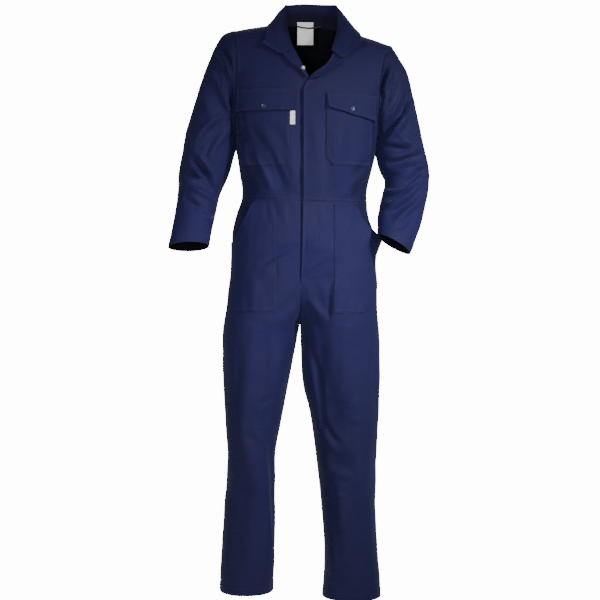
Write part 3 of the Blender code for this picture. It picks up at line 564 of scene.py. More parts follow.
def ring_rows(points, faces, third, loops):
    """Rows of a closed tube, from its upper edge down. A column's way down is shorter than a slanted one."""
    top = max(loops, key=lambda loop: points[loop, 2].mean())
    rows = [top[::-1]]
    for _ in range(len(faces) // (2 * len(top))):
        row = rows[-1]
        fans = [fan_below(third, row, k) for k in range(len(row))]
        sure = next((k for k in range(len(row)) if len(fans[k]) in (1, 3)), 0)
        first = fans[sure][len(fans[sure]) // 2]
        if len(fans[sure]) == 2:
            first = min(fans[sure], key=lambda p: stride(points, row, fans, fans[sure].index(p)))
        found = row_below(third, row, sure, first)
        rows.append(found[len(row) - sure :] + found[: len(row) - sure])
    return rows


# %% One grid for each node
def grid_of(node, facing=1):
    """The node's visible layer as a grid of points in millimetres, and whether it closes to a tube."""
    points, faces = merged_triangles(node)
    layer = max(layers(points, faces), key=lambda part: facing * outwardness(points, part))
    third = third_corners(layer)
    loops = edge_loops(third)
    ring = len(loops) == 2
    rows = ring_rows(points, layer, third, loops) if ring else open_rows(points, layer, third, loops[0])
    return points[np.array(rows)], ring


for name in sorted(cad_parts):
    if "stud" not in name:
        grid, ring = grid_of(name)
        print(f"{name}: {grid.shape[0]} rows of {grid.shape[1]}{', a tube' if ring else ''}")

# %% A smooth line through a grid, and places along it
EDGE_STEPS = (0.8, 1.6, 2.4, 3.4, 5, 6.6, 7.6, 8.4, 9.2, 10.4, 15)  # where a seam's relief needs points
HEM_STEPS = (20, 21.2, 22.4, 23.6, 25.5)  # and where a hem's does, in millimetres from the edge


def through(values, index):
    """A smooth line through rows of points, read at fractions of a row. The slope at a row leans towards
    its nearer neighbour, so that the line turns a sharp corner without swinging out."""
    gap = np.diff(values, axis=0)
    reach = np.maximum(np.linalg.norm(gap, axis=2, keepdims=True), 1e-6)
    way = gap / reach
    slope = (way[:-1] * reach[1:] + way[1:] * reach[:-1]) / (reach[:-1] + reach[1:])
    inner = slope if len(slope) else way
    slope = np.concatenate([1.5 * way[:1] - 0.5 * inner[:1], slope, 1.5 * way[-1:] - 0.5 * inner[-1:]])
    i = np.clip(index.astype(int), 0, len(values) - 2)
    t = (index - i)[:, None, None]
    line = values[i] * (1 + 2 * t) * (1 - t) ** 2 + values[i + 1] * t**2 * (3 - 2 * t)
    return line + reach[i] * (slope[i] * t * (1 - t) ** 2 + slope[i + 1] * t**2 * (t - 1))


def stations(length, step, first=EDGE_STEPS, last=EDGE_STEPS):
    """Places along a line: evenly spaced, and closer near its ends, where the seams are sewn."""
    start, end = ([0] + [e for e in near if e < length / 2 - step] for near in (first, last))
    inner = length - start[-1] - end[-1]
    spans = max(1, round(inner / step))
    middle = start[-1] + inner * np.arange(1, spans) / spans
    return np.concatenate([start, middle, length - np.array(end[::-1])])


def cumulative(points, axis):
    """The length walked along each line of a grid."""
    steps = np.linalg.norm(np.diff(points, axis=axis), axis=2)
    zero = np.zeros_like(steps.take([0], axis=axis))
    return np.concatenate([zero, np.cumsum(steps, axis=axis)], axis=axis)


print("a line 100 mm long gets", len(stations(100, 5)), "places when they are 5 mm apart")

# %% The fine grid of a node
WRAP = 4  # columns repeated on each side of a tube, so that its line closes smoothly


def fine_points(node, step, facing=1, hem=False):
    """The node's visible layer as a fine grid of points, and whether it closes to a tube."""
    grid, ring = grid_of(node, facing)
    down = cumulative(grid, 0).mean(axis=1)
    at = stations(down[-1], step, last=EDGE_STEPS + HEM_STEPS if hem else EDGE_STEPS)
    rows = through(grid, np.interp(at, down, np.arange(len(down))))
    if ring:
        around = cumulative(np.concatenate([grid, grid[:, :1]], axis=1), 1).mean(axis=0)
        whole = around[-1]
        knots = np.concatenate([around[-1 - WRAP : -1] - whole, around, around[1 : 1 + WRAP] + whole])
        rows = np.concatenate([rows[:, -WRAP:], rows, rows[:, : WRAP + 1]], axis=1)
        at = whole * np.arange(round(whole / step)) / round(whole / step)
    else:
        knots = cumulative(grid, 1).mean(axis=0)
        at = stations(knots[-1], step)
    columns = through(rows.transpose(1, 0, 2), np.interp(at, knots, np.arange(len(knots))))
    return columns.transpose(1, 0, 2), ring


print("steps beside an edge:", EDGE_STEPS, "and at a hem:", HEM_STEPS)

# %% Cloth: a surface that knows its edges
FAR = 1e6  # a tube has no left or right edge


class Cloth:
    """A panel in millimetres that knows how far each of its points is from its four edges."""

    def __init__(self, base, ring=False):
        self.base, self.ring = base, ring
        self.moved = base.copy()  # where the folds and seams have put each point
        # Shares of painted shade on the outer layer and of the painted shadow of arms and pockets, and what
        # turns inwards in mm
        self.shade, self.covered, self.turned = np.zeros((3, *base.shape[:2]))
        self.inner_shade = 1.0  # the share of painted shade on the inner layer
        self.top = cumulative(base, 0)
        self.bottom = self.top[-1] - self.top
        walked = cumulative(np.concatenate([base, base[:, :1]], axis=1) if ring else base, 1)
        fallen = self.top[:, np.arange(walked.shape[1]) % self.top.shape[1]]
        self.uv = MM * np.stack([walked - walked[:, [walked.shape[1] // 2]], -fallen], axis=2)
        if ring:
            self.left, self.right = np.full((2, *self.top.shape), FAR)
        else:
            self.left, self.right = walked, walked[:, -1:] - walked
        self.cut = (walked[:, -1].max() * MM, self.top[-1].max() * MM)

    def distance(self, *edges):
        return np.minimum.reduce([getattr(self, edge) for edge in edges])

    def normals(self, points=None):
        points = self.moved if points is None else points
        if self.ring:
            across = np.roll(points, -1, axis=1) - np.roll(points, 1, axis=1)
        else:
            across = np.gradient(points, axis=1)
        normal = np.cross(np.gradient(points, axis=0), across)
        return normal / np.maximum(np.linalg.norm(normal, axis=2, keepdims=True), 1e-9)

    def raise_by(self, height):
        """Move every point out along its own normal."""
        self.moved = self.moved + self.normals() * height[..., None]

    def quads(self):
        rows, columns = self.base.shape[:2]
        r, c = np.mgrid[0 : rows - 1, 0 : columns if self.ring else columns - 1]
        here, after = (r * columns + c).ravel(), (r * columns + (c + 1) % columns).ravel()
        return np.stack([here, here + columns, after + columns, after], axis=1)


print("a cloth carries shade, covered and turned for each point")

# %% [markdown]
# ## Folds and creases
#
# A worn boiler suit hangs from the shoulders and bends at elbow, hip and knee, and each of these leaves its
# own kind of fold: long soft drapes below the arms, fans at the crotch, short rolls at the elbow and behind
# the knee. A cloth simulation would make folds too, but not these ones. So each fold is given as one
# line of a table. It is a soft ridge with a trough beside it, on a slightly bent line, and it rises
# from nothing and dies away again.


# %% A fold
CREST = 1.6  # how steeply a ridge falls off
TROUGH = (1.7, 0.45)  # how many widths from the ridge its trough is, and the share of its height
TAPER = 0.6  # how fast a fold rises from nothing at its ends
WIDE_RUMPLE = (70.0, 1.9)  # size and height in millimetres
FINE_RUMPLE = (24.0, 0.55)


def smooth_step(x):
    x = np.clip(x, 0, 1)
    return x * x * (3 - 2 * x)


def rising(value, start, over):
    """0 up to the start, then softly up to 1 over so much more."""
    return smooth_step((value - start) / over)


def falling(value, end, over):
    """1 far below the end, then softly down to 0 at the end, over so much."""
    return smooth_step((end - value) / over)


def bell(distance, reach):
    """1 at no distance, and down to nothing within about twice the reach."""
    return np.exp(-((distance / reach) ** 2))


def folds(points, table):
    """Height of the folds, in millimetres, from their lines as seen from the front."""
    x, z = points[..., 0], points[..., 2]
    height = np.zeros(x.shape)
    for x0, z0, x1, z1, bend, width, rise in table:
        dx, dz = x1 - x0, z1 - z0
        length = math.hypot(dx, dz)
        along = np.clip(((x - x0) * dx + (z - z0) * dz) / length**2, 0, 1)
        aside = ((z - z0) * dx - (x - x0) * dz) / length - bend * 4 * along * (1 - along)
        widths = aside / width
        ridge = np.exp(-(np.abs(widths) ** CREST)) - TROUGH[1] * np.exp(-((widths - TROUGH[0]) ** 2))
        height += rise * np.sin(np.pi * along) ** TAPER * ridge
    return height


def rumple(points):
    """Soft unevenness of worn cloth. It depends on the place alone, so that it runs on over a seam."""
    height = 0
    for size, rise in (WIDE_RUMPLE, FINE_RUMPLE):
        height = height + rise * np.array([noise.noise(Vector(p)) for p in points.reshape(-1, 3) / size])
    return height.reshape(points.shape[:2])


print("a fold is a ridge with a trough", TROUGH[0], "widths beside it")

# %% Folds of the front: (from x, from z, to x, to z, bend, width, height), in millimetres
FRONT_FOLDS = [
    # drapes from the armholes to the waist
    (-142, -265, -51, -434, 5, 11, -4.6), (-109, -265, -40, -394, 4, 11, 4.0),
    (-150, -330, -99, -444, 4, 9, -4.2), (-131, -340, -80, -442, 3, 8, 3.8),
    (-120, -300, -62, -430, 6, 7, 2.6), (-96, -290, -30, -410, 5, 8, -2.8),
    (-160, -303, -142, -410, 0, 12, 4.5), (-174, -233, -152, -308, 0, 11, -3.9),
    (190, -340, 115, -442, -5, 14, -5.2), (184, -378, 99, -458, -5, 12, 4.5),
    (168, -415, 131, -463, 0, 10, -3.9), (24, -228, 40, -362, 0, 15, 3.2),
    (58, -250, 66, -455, 3, 13, -3.2), (104, -210, 92, -430, -4, 15, 3.6),
    (140, -180, 128, -400, -3, 12, -3.4), (-48, -255, -19, -442, 0, 18, 3.9),
    # pulls at the waist seam and the fan at the crotch
    (-109, -637, -16, -581, 4, 9, -3.6), (-109, -653, -19, -602, 4, 9, 3.0),
    (-72, -623, -72, -671, 0, 8, -2.2), (3, -679, 91, -623, 8, 10, -4.2), (13, -698, 83, -661, 5, 18, -4.8),
    (75, -676, 69, -792, -1, 6, -6.5), (88, -672, 82, -785, -1, 8, 3.5), (8, -585, 88, -592, 4, 26, 5.5),
    (30, -690, 60, -800, 4, 16, -4.0), (-19, -714, -88, -783, 3, 14, -4.2),
    (-8, -741, -56, -815, 3, 12, 3.6), (3, -735, 51, -815, -3, 12, -4.8), (13, -725, 88, -799, -3, 10, 3.6),
    (-128, -669, -131, -767, 0, 18, 3.6), (-99, -463, -93, -527, 0, 7, -2.2),
    (-80, -463, -69, -511, 0, 7, -1.8), (-53, -466, -45, -533, 0, 8, 1.9), (48, -476, 53, -538, 0, 8, 1.9),
    (107, -479, 109, -543, 0, 9, -1.8),
    # the right leg
    (-131, -795, -142, -1090, 3, 20, 5.6), (-105, -817, -94, -1074, 3, 18, -4.8),
    (-174, -844, -180, -1058, 0, 14, -4.0), (-62, -844, -78, -1031, 3, 14, 2.8),
    (-118, -1015, -78, -994, 3, 8, -2.0), (-115, -1034, -70, -1010, 3, 8, 1.8),
    (-131, -1053, -94, -1289, 8, 12, 4.8), (-94, -1273, -88, -1434, 0, 12, 4.8),
    (-88, -1112, -80, -1407, 3, 9, -5.2), (-201, -1018, -196, -1219, 0, 12, 4.0),
    (-169, -1112, -158, -1380, 0, 19, -3.2), (-142, -1273, -147, -1501, 0, 22, 3.2),
    (-190, -1085, -110, -1128, 3, 12, -2.0),
    # the left leg
    (115, -795, 107, -1010, -3, 27, 5.6), (51, -806, 40, -999, 3, 16, -5.6),
    (-3, -817, 43, -1096, 11, 7, 3.6), (24, -876, 54, -1085, 8, 9, -5.2),
    (59, -1058, 107, -1125, -8, 8, -3.6), (54, -1082, 99, -1147, -8, 9, 3.6),
    (121, -1069, 161, -1074, 0, 9, -2.4), (105, -1042, 150, -994, 3, 11, 3.2),
    (67, -1037, 131, -1005, 3, 11, -2.0), (72, -999, 115, -962, 3, 9, 2.0),
    (80, -1203, 139, -1211, 3, 8, 2.1), (78, -1224, 131, -1232, 3, 8, -2.1),
    (86, -1262, 123, -1265, 0, 8, 1.8), (56, -1192, 99, -1466, 8, 16, -4.8),
    (172, -1101, 180, -1501, 0, 16, 4.0), (131, -1273, 131, -1519, 0, 16, 2.8),
    (196, -844, 196, -1085, 0, 11, -3.2),
]
SLEEVE_FRONT_FOLDS = [
    # the right sleeve
    (-244, -66, -187, -213, 11, 9, -9.0), (-233, -61, -190, -183, 8, 8, 7.5),
    (-220, -45, -182, -175, 8, 7, -7.5), (-209, -45, -179, -159, 5, 6, 6.0),
    (-193, -66, -176, -142, 3, 6, -5.2), (-258, -104, -203, -229, 11, 10, 6.8),
    (-194, -150, -187, -335, 0, 8, -8.0), (-206, -150, -196, -290, 4, 6, 4.5),
    (-226, -84, -183, -200, 6, 5, -4.5), (-213, -70, -180, -190, 6, 5, 3.5),
    (-187, -191, -190, -235, 0, 7, -7.5), (-217, -235, -298, -335, -14, 10, 9.0),
    (-209, -262, -266, -354, -8, 9, -6.8), (-307, -338, -244, -441, 8, 9, -11.2),
    (-312, -354, -271, -414, 3, 7, 6.0), (-317, -389, -263, -416, 3, 7, -7.5),
    (-307, -425, -239, -468, 3, 9, 7.5), (-323, -457, -263, -506, 5, 9, -6.0),
    (-290, -484, -236, -528, 0, 9, 5.2), (-285, -142, -247, -251, 5, 13, 4.5),
    # the left sleeve
    (212, -78, 201, -156, 3, 6, 6.0), (225, -94, 209, -175, 3, 6, -6.0), (241, -105, 217, -181, 3, 6, 6.0),
    (255, -121, 220, -219, 5, 7, -8.2), (268, -154, 236, -240, 5, 8, 6.0),
    (218, -110, 206, -230, 3, 5, -5.5), (232, -90, 210, -205, 4, 5, 3.5),
    (206, -230, 205, -330, 0, 8, -5.0), (293, -164, 206, -286, 14, 9, -11.2),
    (274, -229, 220, -311, 8, 9, 7.5), (217, -164, 214, -192, 0, 6, -6.0),
    (252, -281, 317, -322, -5, 10, 7.5), (220, -322, 290, -332, 0, 10, -7.5),
    (225, -365, 328, -335, -5, 9, -9.0), (230, -387, 333, -360, -5, 9, 8.2),
    (233, -433, 331, -376, -8, 9, -9.8), (222, -460, 320, -398, -8, 9, -7.5),
    (228, -446, 328, -387, -8, 7, 6.8), (225, -479, 315, -419, -5, 9, 7.5),
    (241, -519, 339, -425, -8, 9, 6.0), (220, -500, 301, -457, -5, 9, -6.0),
    (247, -544, 306, -484, -5, 10, -5.2),
]
print("folds on the front:", len(FRONT_FOLDS), "and on the sleeves' fronts:", len(SLEEVE_FRONT_FOLDS))

# %% Folds of the back
BACK_FOLDS = [
    (-135, -150, -60, -330, 12, 16, 4.5), (-150, -215, -95, -400, 8, 13, -4.5),
    (-165, -270, -120, -430, 6, 12, 4), (140, -140, 70, -320, -12, 17, 4.5),
    (155, -205, 100, -390, -8, 13, -4.5), (165, -290, 125, -440, -6, 12, 3.5),
    (-30, -180, -20, -440, 6, 16, -3), (40, -220, 30, -450, -5, 15, 3), (-8, -60, -5, -200, 0, 22, 2.5),
    (-120, -400, -60, -452, 4, 9, 3.5), (110, -395, 60, -450, -4, 9, -3.5), (0, -400, 10, -456, 0, 10, 3),
    (-110, -466, -105, -540, 0, 8, 2), (-70, -466, -66, -530, 0, 7, -1.8), (70, -466, 68, -545, 0, 8, 2),
    (115, -466, 112, -530, 0, 7, -1.8), (-150, -640, -60, -735, -10, 12, -4),
    (150, -650, 60, -740, 10, 12, 4), (-120, -700, -20, -745, -8, 10, 4.5),
    (110, -705, 20, -745, 8, 10, -4.5), (-90, -750, -15, -730, 3, 8, -3.5),
    (90, -755, 15, -730, -3, 8, 3.5), (-30, -760, -70, -900, 5, 13, 5), (35, -765, 80, -905, -5, 13, 5),
    (-130, -790, -140, -1010, 4, 15, -5), (140, -800, 150, -1020, -4, 15, -5),
    (-180, -1020, -80, -1050, 6, 9, 5), (-175, -1050, -85, -1085, 5, 8, -5),
    (-190, -1090, -90, -1110, 4, 9, 4.5), (-165, -985, -80, -1005, 4, 9, -3.5),
    (-180, -1140, -100, -1150, 3, 9, 3), (85, -1030, 190, -1000, -6, 9, 5),
    (80, -1060, 185, -1035, -5, 8, -5), (90, -1100, 195, -1085, -4, 9, 4.5),
    (95, -985, 180, -965, -4, 9, -3.5), (100, -1150, 185, -1140, -3, 9, 3),
    (-140, -1180, -125, -1400, 8, 14, 5), (-180, -1220, -170, -1480, 5, 12, -4),
    (-110, -1300, -118, -1520, 0, 12, 4), (130, -1190, 120, -1410, -8, 14, -5),
    (170, -1230, 180, -1490, -5, 12, 4.5), (100, -1310, 110, -1530, 0, 12, -4),
]
SLEEVE_BACK_FOLDS = [
    (-205, -60, -190, -190, 5, 10, 4), (-235, -80, -215, -230, 6, 10, -4),
    (-215, -230, -290, -260, -8, 9, 5), (-225, -280, -310, -300, -6, 9, -5),
    (-235, -330, -320, -330, 0, 8, 5.5), (-245, -360, -325, -370, 0, 8, -5),
    (-250, -400, -325, -420, 0, 9, 4), (-260, -450, -325, -475, 0, 9, -4),
    (-275, -500, -310, -560, 4, 9, 3), (205, -60, 195, -190, -5, 10, 4), (240, -80, 220, -230, -6, 10, -4),
    (215, -225, 300, -250, 8, 9, 5), (225, -270, 315, -290, 6, 9, -5), (235, -320, 330, -320, 0, 8, 5.5),
    (245, -355, 335, -360, 0, 8, -5), (250, -400, 335, -415, 0, 9, 4), (260, -445, 330, -470, 0, 9, -4),
    (280, -500, 315, -555, -4, 9, 3),
]
print("folds on the back:", len(BACK_FOLDS), "and on the sleeves' backs:", len(SLEEVE_BACK_FOLDS))

# %% [markdown]
# ## Seams
#
# The long seams are felled: both allowances are folded into each other and sewn flat with two rows, about
# 2 and 8 mm from the edge. What shows is a low step, two lines of stitches that sink a little, and small
# puckers where the thread is tighter than the cloth. Hems are folded up twice and sewn once.

# %% Relief of a seam
FELL_MM = 8.6
FELL_RISE = 0.7
FELL_ROWS = (1.8, 7.2)
STEP_END = (0.5, 1.1)  # how far past its edge the doubled cloth ends, and over what distance
FURROW = (0.3, 0.8)  # depth and reach of what the thread pulls in
PUCKER_REACH = 8.0
PUCKER_ALONG = (0.6, 0.3, 1.0)  # the way along which the puckers follow each other
PUCKER_BEAT = (0.6, 0.4, 23.0)  # their height is uneven: its middle, its swing, and over what length
PUCKER_WAVE = (0.82, 2.2, 19.0)  # and so is their length: radians in a mm, swing, and over what length


def felled(distance, deep=FELL_MM, rise=FELL_RISE, rows=FELL_ROWS):
    """The doubled cloth beside a seam, with a small furrow under each row of stitches."""
    step = rise * falling(distance, deep + STEP_END[0], STEP_END[1])
    return step - sum(FURROW[0] * bell(distance - row, FURROW[1]) for row in rows)


def pucker(points, distance, rise=0.45):
    """Small waves across a sewn line, uneven in length and height."""
    along = points @ PUCKER_ALONG
    (middle, swing, slow), (rate, lead, length) = PUCKER_BEAT, PUCKER_WAVE
    wave = np.sin(along * rate + lead * np.sin(along / length))
    return rise * (middle + swing * np.sin(along / slow)) * wave * np.exp(-distance / PUCKER_REACH)


print("felled seams rise", FELL_RISE, "mm and are", FELL_MM, "mm wide")

# %% Height of a panel's folds
FACING = 2.2  # how soon the folds of the front give way to those of the back round the sides
SLEEVE_DEPTH = 1.3  # how much deeper the sleeves' folds are than their table says
SEAM_FADE = 16.0  # beside some seams the folds die away over this distance
SLEEVE_FADE = 9.0
FORK = (-640.0, 50.0)  # the inner seams of the legs stay shut below this height, softly over this stretch
FORK_WIDE = (60.0, 20.0)  # and this far from the middle


def fold_height(node, cloth, fading):
    """Unevenness and folds, calmed beside some edges and at the fork."""
    sleeve = node.startswith("sleeve")
    facing = cloth.normals()[..., 1]
    front, back = (SLEEVE_FRONT_FOLDS, SLEEVE_BACK_FOLDS) if sleeve else (FRONT_FOLDS, BACK_FOLDS)
    height = rumple(cloth.base)
    if node != "collar":
        height += (SLEEVE_DEPTH if sleeve else 1.0) * folds(cloth.base, front) * smooth_step(-facing * FACING)
        height += folds(cloth.base, back) * smooth_step(facing * FACING)
    if fading:
        height *= rising(cloth.distance(*fading), 0, SLEEVE_FADE if sleeve else SEAM_FADE)
    if node.startswith("trouser"):
        shut = falling(cloth.base[..., 2], *FORK) * falling(abs(cloth.base[..., 0]), *FORK_WIDE)
        height *= 1 - shut * (1 - rising(cloth.distance("left", "right"), 0, SEAM_FADE))
    return height


print("folds fade out over", SEAM_FADE, "mm at a seam, and over", SLEEVE_FADE, "mm at a sleeve's cap")

# %% Where the arms press on the body
ARMPIT = (8.0, -316.0, 30.0, 189.0)  # middle, height, reach and half width of the body there
ARM_BESIDE = (30.0, 20.0)  # cloth is pressed when it is this near to the body's side, softly over so much
SIDEWAYS = (0.85, 0.6)  # and when it faces the front or the back less than this, softly over so much
SLEEVE_SWELL = 6.5  # how far the sleeve swells there, and how far the body does
BODY_SWELL = 4.5


def under_arm(cloth, sleeve):
    """Below the armpit the sleeve and the body press on each other."""
    middle, level, reach, half = ARMPIT
    near = falling(abs(cloth.normals()[..., 1]), *SIDEWAYS)
    side = falling(abs(abs(cloth.base[..., 0] - middle) - half), *ARM_BESIDE)
    return (SLEEVE_SWELL if sleeve else BODY_SWELL) * bell(cloth.base[..., 2] - level, reach) * near * side


print("the armpit is at", ARMPIT[1], "mm")

# %% The sleeve's cap, and the painted shadow of the arms
ROPING = (4.0, 12.0)  # the cap swells out beside its seam: how far, and at what distance
CAP_SINK = (2.6, 4.0)  # the seam itself is pulled in: how far, and within what distance
CAP_SHADOW = (0.8, 25.0)  # painted shadow beside the cap: how dark at most, and over this distance
CAP_TOP = (4.0, 30.0)  # what is less deep than this is the top of the cap, softly over this stretch
SIDES_FROM = (-640.0, 90.0)  # above this height, softly, the arms' painted shadow falls on the sides of the body
SIDE_ON = (0.4, 0.35)  # a side is cloth that faces sideways more than this, softly over so much


def below_shoulder(cloth):
    """0 on the top of the sleeve's cap, and 1 from a little below it."""
    return rising(cloth.base[:1, :, 2].max() - cloth.base[..., 2], *CAP_TOP)


def cap_height(cloth):
    """The swell beside the sleeve's cap, and the sink of its seam."""
    (rise, at), (sink, within) = ROPING, CAP_SINK
    swell = rise * (cloth.top / at) * np.exp(1 - cloth.top / at)
    return below_shoulder(cloth) * (swell - sink * np.exp(-cloth.top / within))


def covered_by_arms(cloth, sleeve):
    """Painted shadow of the arms: beside the sleeve's cap, and on the sides of the body."""
    if sleeve:
        most, reach = CAP_SHADOW
        return most * below_shoulder(cloth) * np.exp(-cloth.top / reach)
    sideways = abs(cloth.normals(cloth.base)[..., 0])
    return rising(cloth.base[..., 2], *SIDES_FROM) * rising(sideways, *SIDE_ON)


print("the cap swells by", ROPING[0], "mm")

# %% Edges that lap over their neighbours
LAP = 1.0  # the fronts' edges reach back by this, so that they lie over those of the backs by about half
LAP_TOP = (-806.0, 6.0)  # on the inside of a leg they do so below this height, softly over this stretch
LAP_RISE = 0.6
LAP_REACH = 2.0
ALLOWANCE = 5.0  # where two edges are sewn, the cloth turns inwards, so that no light shows through
ALLOWANCE_REACH = 0.5


def lap_over(cloth, outside, inside):
    """Lay a trouser front's two long edges over those of the back, as in a felled seam."""
    below = falling(cloth.base[..., 2], *LAP_TOP) * np.exp(-cloth.distance(inside) / LAP_REACH)
    cloth.raise_by(LAP_RISE * below)
    cloth.moved[..., 1] += LAP * (np.exp(-cloth.distance(outside) / LAP_REACH) + below)


print("the fronts' edges reach back by", LAP, "mm")

# %% The panels
PANEL_STEP = 4.6
FINE_STEP = 3.6
HEM = 22.0
HEM_ROW = 20.0
HEM_RISE = 0.8
PANELS = {  # node: (felled edges, edges with a hem, edges where folds fade out, edges that turn inwards)
    "back_upper": (("bottom",), (), ("left", "right"), ("top", "left", "right")),
    "front_left": (("right", "bottom"), (), ("right",), ("right",)),
    "front_right": (("left", "bottom"), (), ("left",), ("left",)),
    "trouser_front_left": (("right", "top"), ("bottom",), (), ()),
    "trouser_front_right": (("left", "top"), ("bottom",), (), ("right",)),
    "trouser_back_left": (("top",), ("bottom",), (), ()),
    "trouser_back_right": (("top",), ("bottom",), (), ()),
    "sleeve_left": ((), ("bottom",), ("top",), ("top",)),
    "sleeve_right": ((), ("bottom",), ("top",), ("top",)),
    "collar": ((), (), (), ()),
}
LEG_SIDES = {"left": ("right", "left"), "right": ("left", "right")}  # a front's outer and inner edge


def shape_panel(node, fells, hems, fading, turned):
    sleeve = node.startswith("sleeve")
    cloth = Cloth(*fine_points(node, FINE_STEP if sleeve or node == "collar" else PANEL_STEP, hem=bool(hems)))
    height = fold_height(node, cloth, fading)
    if sleeve:
        height += cap_height(cloth)
    if node != "collar":
        # The painted shadow of the arms darkens the cloth beside the cap and on the body's sides.
        cloth.covered = covered_by_arms(cloth, sleeve)
    height += under_arm(cloth, sleeve)
    for edge in fells:
        height += felled(cloth.distance(edge)) + pucker(cloth.base, cloth.distance(edge))
    for edge in hems:
        height += felled(cloth.distance(edge), HEM, HEM_RISE, (HEM_ROW,))
        height += pucker(cloth.base, abs(cloth.distance(edge) - HEM))
    cloth.raise_by(height)
    if node.startswith("trouser_front"):
        lap_over(cloth, *LEG_SIDES[node.split("_")[-1]])
    for edge in turned:
        near = np.exp(-cloth.distance(edge) / ALLOWANCE_REACH)
        cloth.turned = np.maximum(cloth.turned, ALLOWANCE * near)
    return cloth


cloths = {}
for node, facts in PANELS.items():
    cloths[node] = shape_panel(node, *facts)
    rows, columns = cloths[node].base.shape[:2]
    print(f"{node}: {rows} rows of {columns}")

# %% [markdown]
# ## Front edge and collar
#
# The left front lies on the right one, and only a few studs hold it, so its edge stands off a little and
# casts a thin shadow. The collar is one piece that stands at the back of the neck, rolls over and falls
# to the shoulders. Their forms come with the frame. What is added here is small: soft moves of part of the
# cloth, each from a place and a reach.

# %% The front edge and the fly stand a little proud
FRONT_GAPE = (4.0, 3.2)  # how far the edge that lies on top is lifted, and within what distance
FRONT_SINK = (4.5, 2.2)  # how deep the cloth below it dips, and within what distance
FLY_END = (-720.0, 60.0)  # the edge is lifted above this height, softly over this stretch
DIP_END = (-705.0, 60.0)  # and the cloth below it dips above this height
DIP_TOP = (-140.0, 30.0)  # up to this one
DIPS = {"front_right": -3.5, "trouser_front_right": -4.5}  # where the cloth dips, from the middle
for node in ("front_left", "trouser_front_left"):
    cloth = cloths[node]
    share = rising(cloth.base[..., 2], *FLY_END)
    cloth.raise_by(FRONT_GAPE[0] * share * np.exp(-cloth.left / FRONT_GAPE[1]))
for node, line in DIPS.items():
    cloth = cloths[node]
    share = rising(cloth.base[..., 2], *DIP_END) * falling(cloth.base[..., 2], *DIP_TOP)
    cloth.raise_by(-FRONT_SINK[0] * share * bell(cloth.base[..., 0] - line, FRONT_SINK[1]))
print("front edge lifted by", FRONT_GAPE[0], "mm")

# %% The collar falls to the shoulders, and its right leaf lies closer to the neck
# Places go from -1 to 1 along the collar, and from 0 to 1 down it. Each pair is a place and a reach.
LEAF_PULL = 9.0
LEAF_ALONG = ((0.38, 0.25), (0.8, 0.2))  # the right leaf begins and ends here
LEAF_DOWN = (0.45, 0.5)
CORNER = ((0.28, 0.14), (0.42, 0.2))  # where the roll turns forward on the right, along and down
CORNER_SHIFT = (-6.0, 0.0, -8.0)
BACK_DROP = 8.0  # behind, the leaf hangs closer to the shoulders
BACK_HALF = (0.35, 0.25)
BACK_DOWN = (0.55, 0.45)
LEAF_GAPE = 4.5  # the edges of both leaves stand off
GAPE_ALONG = (0.5, 0.2)
GAPE_DOWN = (0.6, 0.4)
STAND_SHADE = 0.75  # the inside of the stand gets painted shade, the dark inside colour by this share
STAND_DOWN = (0.36, 0.16)

collar = cloths["collar"]
down = collar.top / collar.top[-1]
along = np.linspace(-1, 1, down.shape[1])
if collar.base[0, 0, 0] < collar.base[0, -1, 0]:
    along = -along
leaf = rising(along, *LEAF_ALONG[0]) * (1 - rising(along, *LEAF_ALONG[1]))
# No painted shade on the collar's inner layer, its undercollar.
collar.inner_shade = 0.0
collar.shade = STAND_SHADE * falling(down, *STAND_DOWN)
collar.moved[..., 0] += LEAF_PULL * rising(down, *LEAF_DOWN) * leaf
collar.moved[..., 2] -= BACK_DROP * rising(down, *BACK_DOWN) * (1 - rising(abs(along), *BACK_HALF))
near_corner = bell(along - CORNER[0][0], CORNER[0][1]) * bell(down - CORNER[1][0], CORNER[1][1])
collar.moved += near_corner[..., None] * CORNER_SHIFT
collar.raise_by(LEAF_GAPE * rising(down, *GAPE_DOWN) * rising(abs(along), *GAPE_ALONG))
print("the right leaf is pulled in by", LEAF_PULL, "mm, and the back hangs", BACK_DROP, "mm lower")

# %% [markdown]
# ## Patches
#
# Pockets, flaps, the placket and the lapels lie on a panel. When the panel folds, they fold with it. To
# carry them along, we look for the place under each of their points on the smooth panel, and see how far
# that place has moved.


# %% Ground: what a patch lies on
class Ground:
    def __init__(self, node):
        panel = cloths[node]
        quads = panel.quads()
        self.triangles = np.concatenate([quads[:, [0, 1, 2]], quads[:, [0, 2, 3]]]).tolist()
        self.smooth = [Vector(p) for p in panel.base.reshape(-1, 3)]
        self.folded = [Vector(p) for p in panel.moved.reshape(-1, 3)]
        self.tree = BVHTree.FromPolygons(self.smooth, self.triangles, all_triangles=True)

    def carry(self, points, least):
        """Move points as the ground below them moved, and keep them at least so far above it."""
        carried = np.empty(points.shape)
        for k, point in enumerate(points):
            place, normal, index, _ = self.tree.find_nearest(Vector(point))
            corners = self.triangles[index]
            smooth, folded = ([side[c] for c in corners] for side in (self.smooth, self.folded))
            target = barycentric_transform(place, *smooth, *folded)
            short = max(0.0, least - (Vector(point) - place).dot(normal))
            carried[k] = Vector(point) + (target - place) + normal * short
        return carried


print("a ground has two states, smooth and folded")

# %% The patches
PATCH_STEP = 3.6
SMALL_STEP = 2.0
PATCH_RUMPLE = 0.35  # a patch is flatter than the cloth below it, by this share
RUMPLE_SHIFT = (37.0, 0, 11.0)  # and its unevenness is not that of the cloth below
PATCH_RISE = 0.5
PATCH_HEM = 6.5
PATCH_ROW = 5.0
PATCH_PUCKER = (0.35, 0.25)  # beside two rows of stitches, and beside one
GAPE_REACH = 11.0
PRESSED = (0.6, 2.5)  # a sewn edge is pressed down into the cloth below: how far, and over what distance
ROLLED = (1.6, 1.4)  # a flap's lower edge curls back: how far, and over what distance
